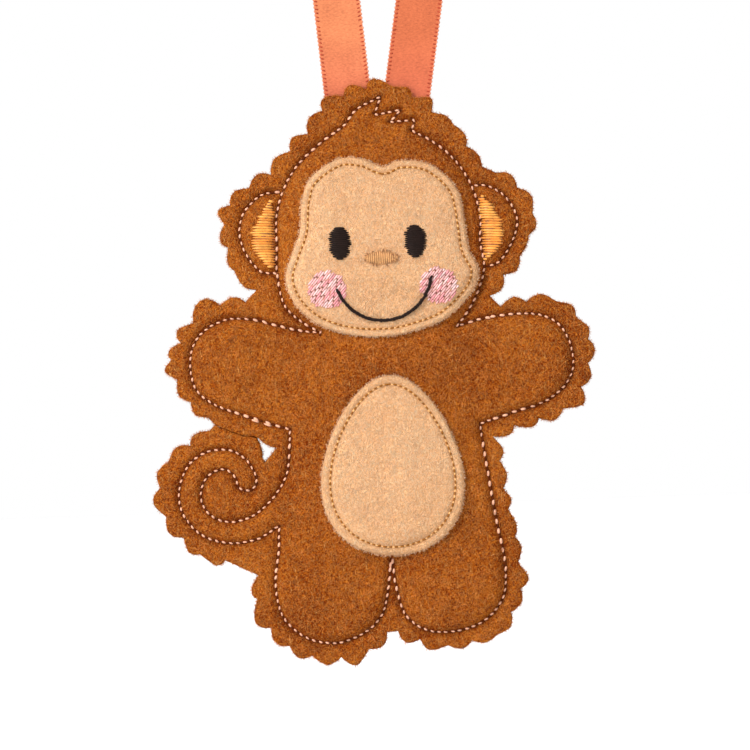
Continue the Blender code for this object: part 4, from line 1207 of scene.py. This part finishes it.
def peach_fuzz(name, loop, seam, tree):
    spots = scattered(loop, FUZZ_PER_MM2 * 1.3)
    first, last, side, lift = lying_fibres(spots, 0.14)
    good = inside(loop, first) & inside(loop, last) & (distance_to([closed_line(seam)], spots) > 0.5)
    first, last, side, lift = first[good], last[good], side[good], lift[good]
    bulge = np.column_stack([side[:, 0], -lift, side[:, 1]])
    root, tip = edge_fibres(closed_line(loop), EDGE_FUZZ_PER_MM * 1.3)
    base, depth = FRONT.height(root), RNG.uniform(0.15, 0.95, len(root)) * APPLIQUE_THICKNESS
    start = np.vstack([on_tree(tree, first) - 0.04 * UP, FRONT.place(root, base + depth * 0.85)])
    end = np.vstack([on_tree(tree, last) - 0.02 * UP, FRONT.place(tip, base + depth)])
    bulge = np.vstack([bulge, RNG.uniform(-0.07, 0.07, (len(root), 3))])
    obj = fibre_mesh(f"{name}_fuzz", start, end, bulge, RNG.uniform(0.022, 0.042, len(start)), PEACH_FIBRE)
    attach(obj, "peach_felt", "body", f"{name}_applique")


def brown_points(points):
    return FRONT.place(points, FRONT.height(points))


def nose_outline(tree):
    """Short slanting stitches round the nose, with a darker knot of them at its right end."""
    threads = Threads()
    ring = ellipse(NOSE[0], (NOSE[1][0] + 0.1, NOSE[1][1] + 0.1), 30)
    knot = NOSE[0] + np.column_stack([RNG.uniform(2.1, 3.4, 7), RNG.uniform(-0.7, 0.7, 7)])
    spots = np.vstack([ring[RNG.random(30) < 0.45], knot])
    for place, spot in zip(on_tree(tree, spots), spots):
        aside = spot[0] - NOSE[0][0]
        angle = math.radians(RNG.uniform(50, 130) if abs(aside) < 2 else RNG.uniform(0, 180))
        d = np.array([math.cos(angle), 0.0, math.sin(angle)])
        lift = 0.34 if aside > 2 else 0.16
        threads.bead(place + lift * UP, d, UP, RNG.uniform(0.4, 0.7), 0.12)
    attach(threads.build("nose_outline", [NOSE_SHADE]), "nose_thread", "body", "nose")


def mouth(tree):
    """A cord of slanting dark stitches."""
    a = np.radians(np.linspace(*MOUTH_ARC, 200))
    line = np.array(MOUTH_CENTRE) + MOUTH_RADIUS * np.column_stack([np.cos(a), np.sin(a)])
    line = resampled(line, 0.62)
    line += RNG.uniform(-0.06, 0.06, line.shape)
    place, direction = on_tree(tree, line), tangents(line)
    threads = Threads()
    for k in range(len(line)):
        grain = slanted(direction[k], UP, RNG.uniform(14, 26))
        threads.bead(place[k] + 0.33 * UP, grain, UP, 1.25, 0.29, 0.85)
    attach(threads.build("mouth_cord", [DARK]), "dark_thread", "body", "mouth")


def stuffing():
    """Lumpy wads of fibrefill in the space between the felts."""
    for node, (centre, half) in WADS.items():
        across, around = 25, 48
        vertices, faces = [], []
        for i in range(1, across):
            lat = math.pi * i / across - math.pi / 2
            for j in range(around):
                lon = 2 * math.pi * j / around
                vertices.append((math.cos(lat) * math.cos(lon), math.cos(lat) * math.sin(lon), math.sin(lat)))
        vertices += [(0, 0, -1), (0, 0, 1)]
        v = np.array(vertices)
        flat = np.column_stack([centre[0] + half[0] * v[:, 0], centre[1] + half[1] * v[:, 2]])
        lumps = 1 - 0.18 * np.abs(rough(flat, 3.0, 31.0)) - 0.1 * np.abs(rough(flat, 1.2, 35.0))
        room = np.where(v[:, 1] < 0, FRONT.height(flat), BACK.height(flat)) - FELT_THICKNESS
        y = SEAM_Y + v[:, 1] * 0.8 * room * lumps
        points = np.column_stack([flat[:, 0], y, flat[:, 1]])
        rows = across - 1
        for i in range(rows - 1):
            for j in range(around):
                k = (j + 1) % around
                faces.append((i * around + j, i * around + k, (i + 1) * around + k, (i + 1) * around + j))
        south, north = len(v) - 2, len(v) - 1
        for j in range(around):
            k = (j + 1) % around
            faces.append((south, k, j))
            faces.append((north, (rows - 1) * around + j, (rows - 1) * around + k))
        limb = LIMB_OF.get(node.removeprefix("stuffing_"), "body")
        attach(new_object(f"{node}_wad", points, faces, [FILL]), "fibrefill", limb, node)


# ---------------------------------------------------------------- ribbon

def ribbon_centre(side, z):
    return RIBBON_FOOT_X[side] + RIBBON_LEAN[side] * (z - RIBBON_SEWN_END_Z)


def ribbon_path():
    """Centre line and width direction of the ribbon, from its left sewn-in end over to its right one."""
    heights = np.linspace(RIBBON_SEWN_END_Z, RIBBON_ARCH_Z, 121)
    left = np.array([(ribbon_centre(0, z), SEAM_Y, z) for z in heights])
    right = np.array([(ribbon_centre(1, z), SEAM_Y, z) for z in heights])
    middle, radius = (left[-1] + right[-1]) / 2, np.linalg.norm(right[-1] - left[-1]) / 2
    a = np.linspace(math.pi, 0, 84)[1:-1]
    arch = middle + radius * np.column_stack([np.cos(a), np.zeros_like(a), np.sin(a)])
    centre = np.vstack([left, arch, right[::-1]])
    share = np.clip((heights - RIBBON_BEND_Z - 1) / (RIBBON_ARCH_Z - RIBBON_BEND_Z - 1), 0, 1)
    turn = math.pi / 2 * (3 * share**2 - 2 * share**3)
    left_width = np.column_stack([np.cos(turn), -np.sin(turn), np.zeros_like(turn)])
    arch_width = np.tile([0.0, -1.0, 0.0], (len(arch), 1))
    right_width = np.column_stack([-np.cos(turn), -np.sin(turn), np.zeros_like(turn)])[::-1]
    width = np.vstack([left_width, arch_width, right_width])
    kernel = bell(12, 5.0)
    padded = np.vstack([centre[:1] - (centre[1] - centre[0]) * np.arange(12, 0, -1)[:, None], centre,
                        centre[-1:] + (centre[-1] - centre[-2]) * np.arange(1, 13)[:, None]])
    smooth = np.column_stack([np.convolve(padded[:, k], kernel, mode="valid") for k in range(3)])
    return smooth, width


def ribbon_piece(name, centre, width, body, nodes, blend_to, start, end):
    """A strip with a slight curl across its width and a woven edge of small loops on each side."""
    t = tangents(centre)
    normal = np.cross(width, t)
    normal /= np.linalg.norm(normal, axis=1)[:, None]
    steps = np.linspace(-1.0, 1.0, 17)
    rows = []
    for k in range(len(centre)):
        curl = RIBBON_CURL * (steps**2 - 0.35)
        row = centre[k] + width[k] * (steps * RIBBON_WIDTH / 2 * 0.97)[:, None] + normal[k] * curl[:, None]
        rows.append(row)
    mid = np.array(rows)
    count = len(steps)
    slope = RIBBON_CURL * 2 * steps / (RIBBON_WIDTH / 2 * 0.97)
    bowed = (normal[:, None] - slope[None, :, None] * width[:, None]).reshape(-1, 3)
    bowed /= np.linalg.norm(bowed, axis=1)[:, None]
    top = mid + normal[:, None] * RIBBON_THICKNESS / 2
    bottom = mid - normal[:, None] * RIBBON_THICKNESS / 2
    vertices = np.vstack([top.reshape(-1, 3), bottom.reshape(-1, 3)])
    n = len(centre) * count
    faces, normals = [], []

    def quad(corners, direction):
        faces.append(corners)
        normals.extend([direction] * 4)

    for k in range(len(centre) - 1):
        for i in range(count - 1):
            a, b, c, d = k * count + i, k * count + i + 1, (k + 1) * count + i + 1, (k + 1) * count + i
            faces.append((a, b, c, d))
            normals += [bowed[a], bowed[b], bowed[c], bowed[d]]
            faces.append((n + d, n + c, n + b, n + a))
            normals += [-bowed[d], -bowed[c], -bowed[b], -bowed[a]]
        for i, sign in ((0, -1), (count - 1, 1)):
            a, d = k * count + i, (k + 1) * count + i
            corners = (a, d, n + d, n + a)
            quad(corners if sign < 0 else corners[::-1], sign * width[k])
    for k, sign in ((0, -1), (len(centre) - 1, 1)):
        for i in range(count - 1):
            corners = (k * count + i, k * count + i + 1, n + k * count + i + 1, n + k * count + i)
            quad(corners if sign > 0 else corners[::-1], sign * t[k])
    obj = new_object(name, vertices, faces, [SATIN], normals=[tuple(v) for v in normals])
    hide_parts(*nodes)
    edge = Threads()
    along = travelled(centre)
    marks = np.arange(0.35, along[-1] - 0.3, PICOT_PITCH)
    for p, w, d in zip(*(sampled(values, along, marks) for values in (centre, width, t))):
        w /= np.linalg.norm(w)
        d /= np.linalg.norm(d)
        up = np.cross(w, d)
        for sign in (-1, 1):
            rim = sign * w * RIBBON_WIDTH / 2 * 0.965
            edge.bead(p + rim + up * 0.08, d, up, 0.5, 0.2, 1.0, 1)
            slant = sign * w + RNG.uniform(0.1, 0.5) * d
            for face in (-1, 1):
                bar = p + 0.4 * d + rim * (1 - 0.85 / RIBBON_WIDTH)
                bar = bar + face * up * (RIBBON_THICKNESS / 2 + 0.02)
                edge.bead(bar, slant, face * up, RNG.uniform(0.6, 0.85), 0.14, 0.6)
    loops = edge.build(f"{name}_edge", [SATIN_EDGE, SATIN_PICOT])
    for piece in (obj, loops):
        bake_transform(piece)


def ribbon():
    centre, width = ribbon_path()
    z = centre[:, 2]
    half = len(centre) // 2
    low = z < RIBBON_SPLIT_Z
    left_low = np.flatnonzero(low & (np.arange(len(z)) < half))
    right_low = np.flatnonzero(low & (np.arange(len(z)) > half))
    upper = np.arange(left_low[-1], right_low[0] + 1)
    fold = ((0, SEAM_Y * MM, (RIBBON_FOLD_Z - 1.6) * MM), (0, SEAM_Y * MM, (RIBBON_FOLD_Z + 3.0) * MM))
    bend = ((0, SEAM_Y * MM, (RIBBON_BEND_Z - 4.0) * MM), (0, SEAM_Y * MM, (RIBBON_BEND_Z + 4.0) * MM))
    for side, rows in (("left", left_low), ("right", right_low)):
        ribbon_piece(f"ribbon_{side}", centre[rows], width[rows], "monkey_body",
                     [f"ribbon_{side}_sewn_end", f"ribbon_{side}_strand"], "ribbon_strands", *fold)
    ribbon_piece("ribbon_loop", centre[upper], width[upper], "ribbon_strands", ["ribbon_crown"],
                 "ribbon_loop_top", *bend)


# ---------------------------------------------------------------- build

felt_panel(FRONT, "front")
felt_panel(BACK, "back")
face_tree = applique("face", FACE, FACE_SEAM)
tummy_tree = applique("tummy", TUMMY, TUMMY_SEAM)
brown_fuzz(FRONT, "front")
brown_fuzz(BACK, "back")
peach_fuzz("face", FACE, FACE_SEAM, face_tree)
peach_fuzz("tummy", TUMMY, TUMMY_SEAM, tummy_tree)
outline_stitches()
applique_stitches("face", face_tree, FACE_SEAM)
applique_stitches("tummy", tummy_tree, TUMMY_SEAM)


def face_points(points):
    return on_tree(face_tree, points)


for eye, (centre, half) in EYES.items():
    satin_rows(f"{eye}_satin", eye, ellipse(centre, half, 60), RNG.uniform(-3, 3), 0.4, 0.26, [DARK],
               "dark_thread", face_points, 0.22, 0.3)
for cheek, (centre, half) in CHEEKS.items():
    satin_rows(f"{cheek}_fill", cheek, ellipse(centre, half, 60), 50, 0.42, 0.2,
               [CHEEK, CHEEK_PALE, CHEEK, CHEEK_DEEP, HOLE_AND_GAP_SHADE], "cheek_thread",
               face_points, 0.35, 0.1, 2.1)
satin_rows("nose_satin", "nose", ellipse(*NOSE, 60), 90, 0.42, 0.22, [NOSE_THREAD], "nose_thread",
           face_points, 0.15, 0.28)
for ear, loop in (("left_inner_ear", LEFT_INNER_EAR), ("right_inner_ear", RIGHT_INNER_EAR)):
    satin_rows(f"{ear}_satin", ear, smooth_line(loop, 0.5, closed=True), RNG.uniform(-4, 4), 0.52, 0.27,
               [GOLD, GOLD, GOLD_SHADE, HOLE_AND_GAP_SHADE], "ear_thread", brown_points, 0.35, 0.28, gaps=0.5)
nose_outline(face_tree)
mouth(face_tree)
stuffing()
ribbon()


# ---------------------------------------------------------------- stage

def plain_material(name, colour, roughness):
    n = Nodes(name)
    lighter = tuple(c * 1.01 for c in colour)
    return n.finish(n.ramp(n.noise(0.02, 2.0), (0.4, colour), (0.6, lighter)), roughness)


low, high = CAD_BOX
floor_mesh = bpy.data.meshes.new("floor")
floor_mesh.from_pydata([(-3, -3, 0), (3, -3, 0), (3, 3, 0), (-3, 3, 0)], [], [(0, 1, 2, 3)])
floor_mesh.materials.append(plain_material("pale_floor", (0.92, 0.92, 0.92), 0.7))
floor = bpy.data.objects.new("floor", floor_mesh)
floor.location = (0, 0, low.z - 0.16)
bpy.context.scene.collection.objects.link(floor)


def sun(name, place, strength, angle):
    """A soft distant light from the direction of place."""
    light = bpy.data.lights.new(name, "SUN")
    light.energy = strength
    light.angle = math.radians(angle)
    obj = bpy.data.objects.new(name, light)
    obj.rotation_euler = Vector(place).to_track_quat("Z", "Y").to_euler()
    bpy.context.scene.collection.objects.link(obj)


sun("key", (-0.75, -0.75, 0.85), 2.5, 14)
sun("fill", (0.5, -0.9, 0.0), 0.45, 40)
sun("back_light", (0.3, 0.8, 0.5), 1.2, 30)

PANEL_AIM = Vector((-0.03, 0.0, 0.02))
panel = bpy.data.lights.new("side_panel", "AREA")
panel.energy = 0.13
panel.size = 0.08
panel_object = bpy.data.objects.new("side_panel", panel)
panel_object.location = (-0.14, SEAM_Y * MM - 0.16, 0.06)
panel_object.rotation_euler = (panel_object.location - PANEL_AIM).to_track_quat("Z", "Y").to_euler()
panel_object.visible_camera = False
bpy.context.scene.collection.objects.link(panel_object)

world = bpy.data.worlds.new("studio")
bpy.context.scene.world = world
world.use_nodes = True
tree = world.node_tree
background = tree.nodes["Background"]
path = tree.nodes.new("ShaderNodeLightPath")
strength = tree.nodes.new("ShaderNodeMapRange")
strength.inputs["To Min"].default_value = 0.55
strength.inputs["To Max"].default_value = 1.0
tree.links.new(path.outputs["Is Camera Ray"], strength.inputs["Value"])
tree.links.new(strength.outputs["Result"], background.inputs["Strength"])
background.inputs["Color"].default_value = (1, 1, 1, 1)
bpy.context.scene.view_settings.view_transform = "Standard"

FRAME_WIDTH = 0.150
CAMERA_X, CAMERA_Z, CAMERA_ROLL = -0.0027, 0.0191, 2.0
FACE_DEPTH = 0.003
camera_data = bpy.data.cameras.new("camera")
camera_data.lens = 100
camera_data.sensor_width = 36
camera = bpy.data.objects.new("camera", camera_data)
bpy.context.scene.collection.objects.link(camera)
distance = FRAME_WIDTH * camera_data.lens / camera_data.sensor_width
camera.location = (CAMERA_X, SEAM_Y * MM - FACE_DEPTH - distance, CAMERA_Z)
camera.rotation_euler = (math.radians(90), math.radians(CAMERA_ROLL), 0.0)
bpy.context.scene.camera = camera
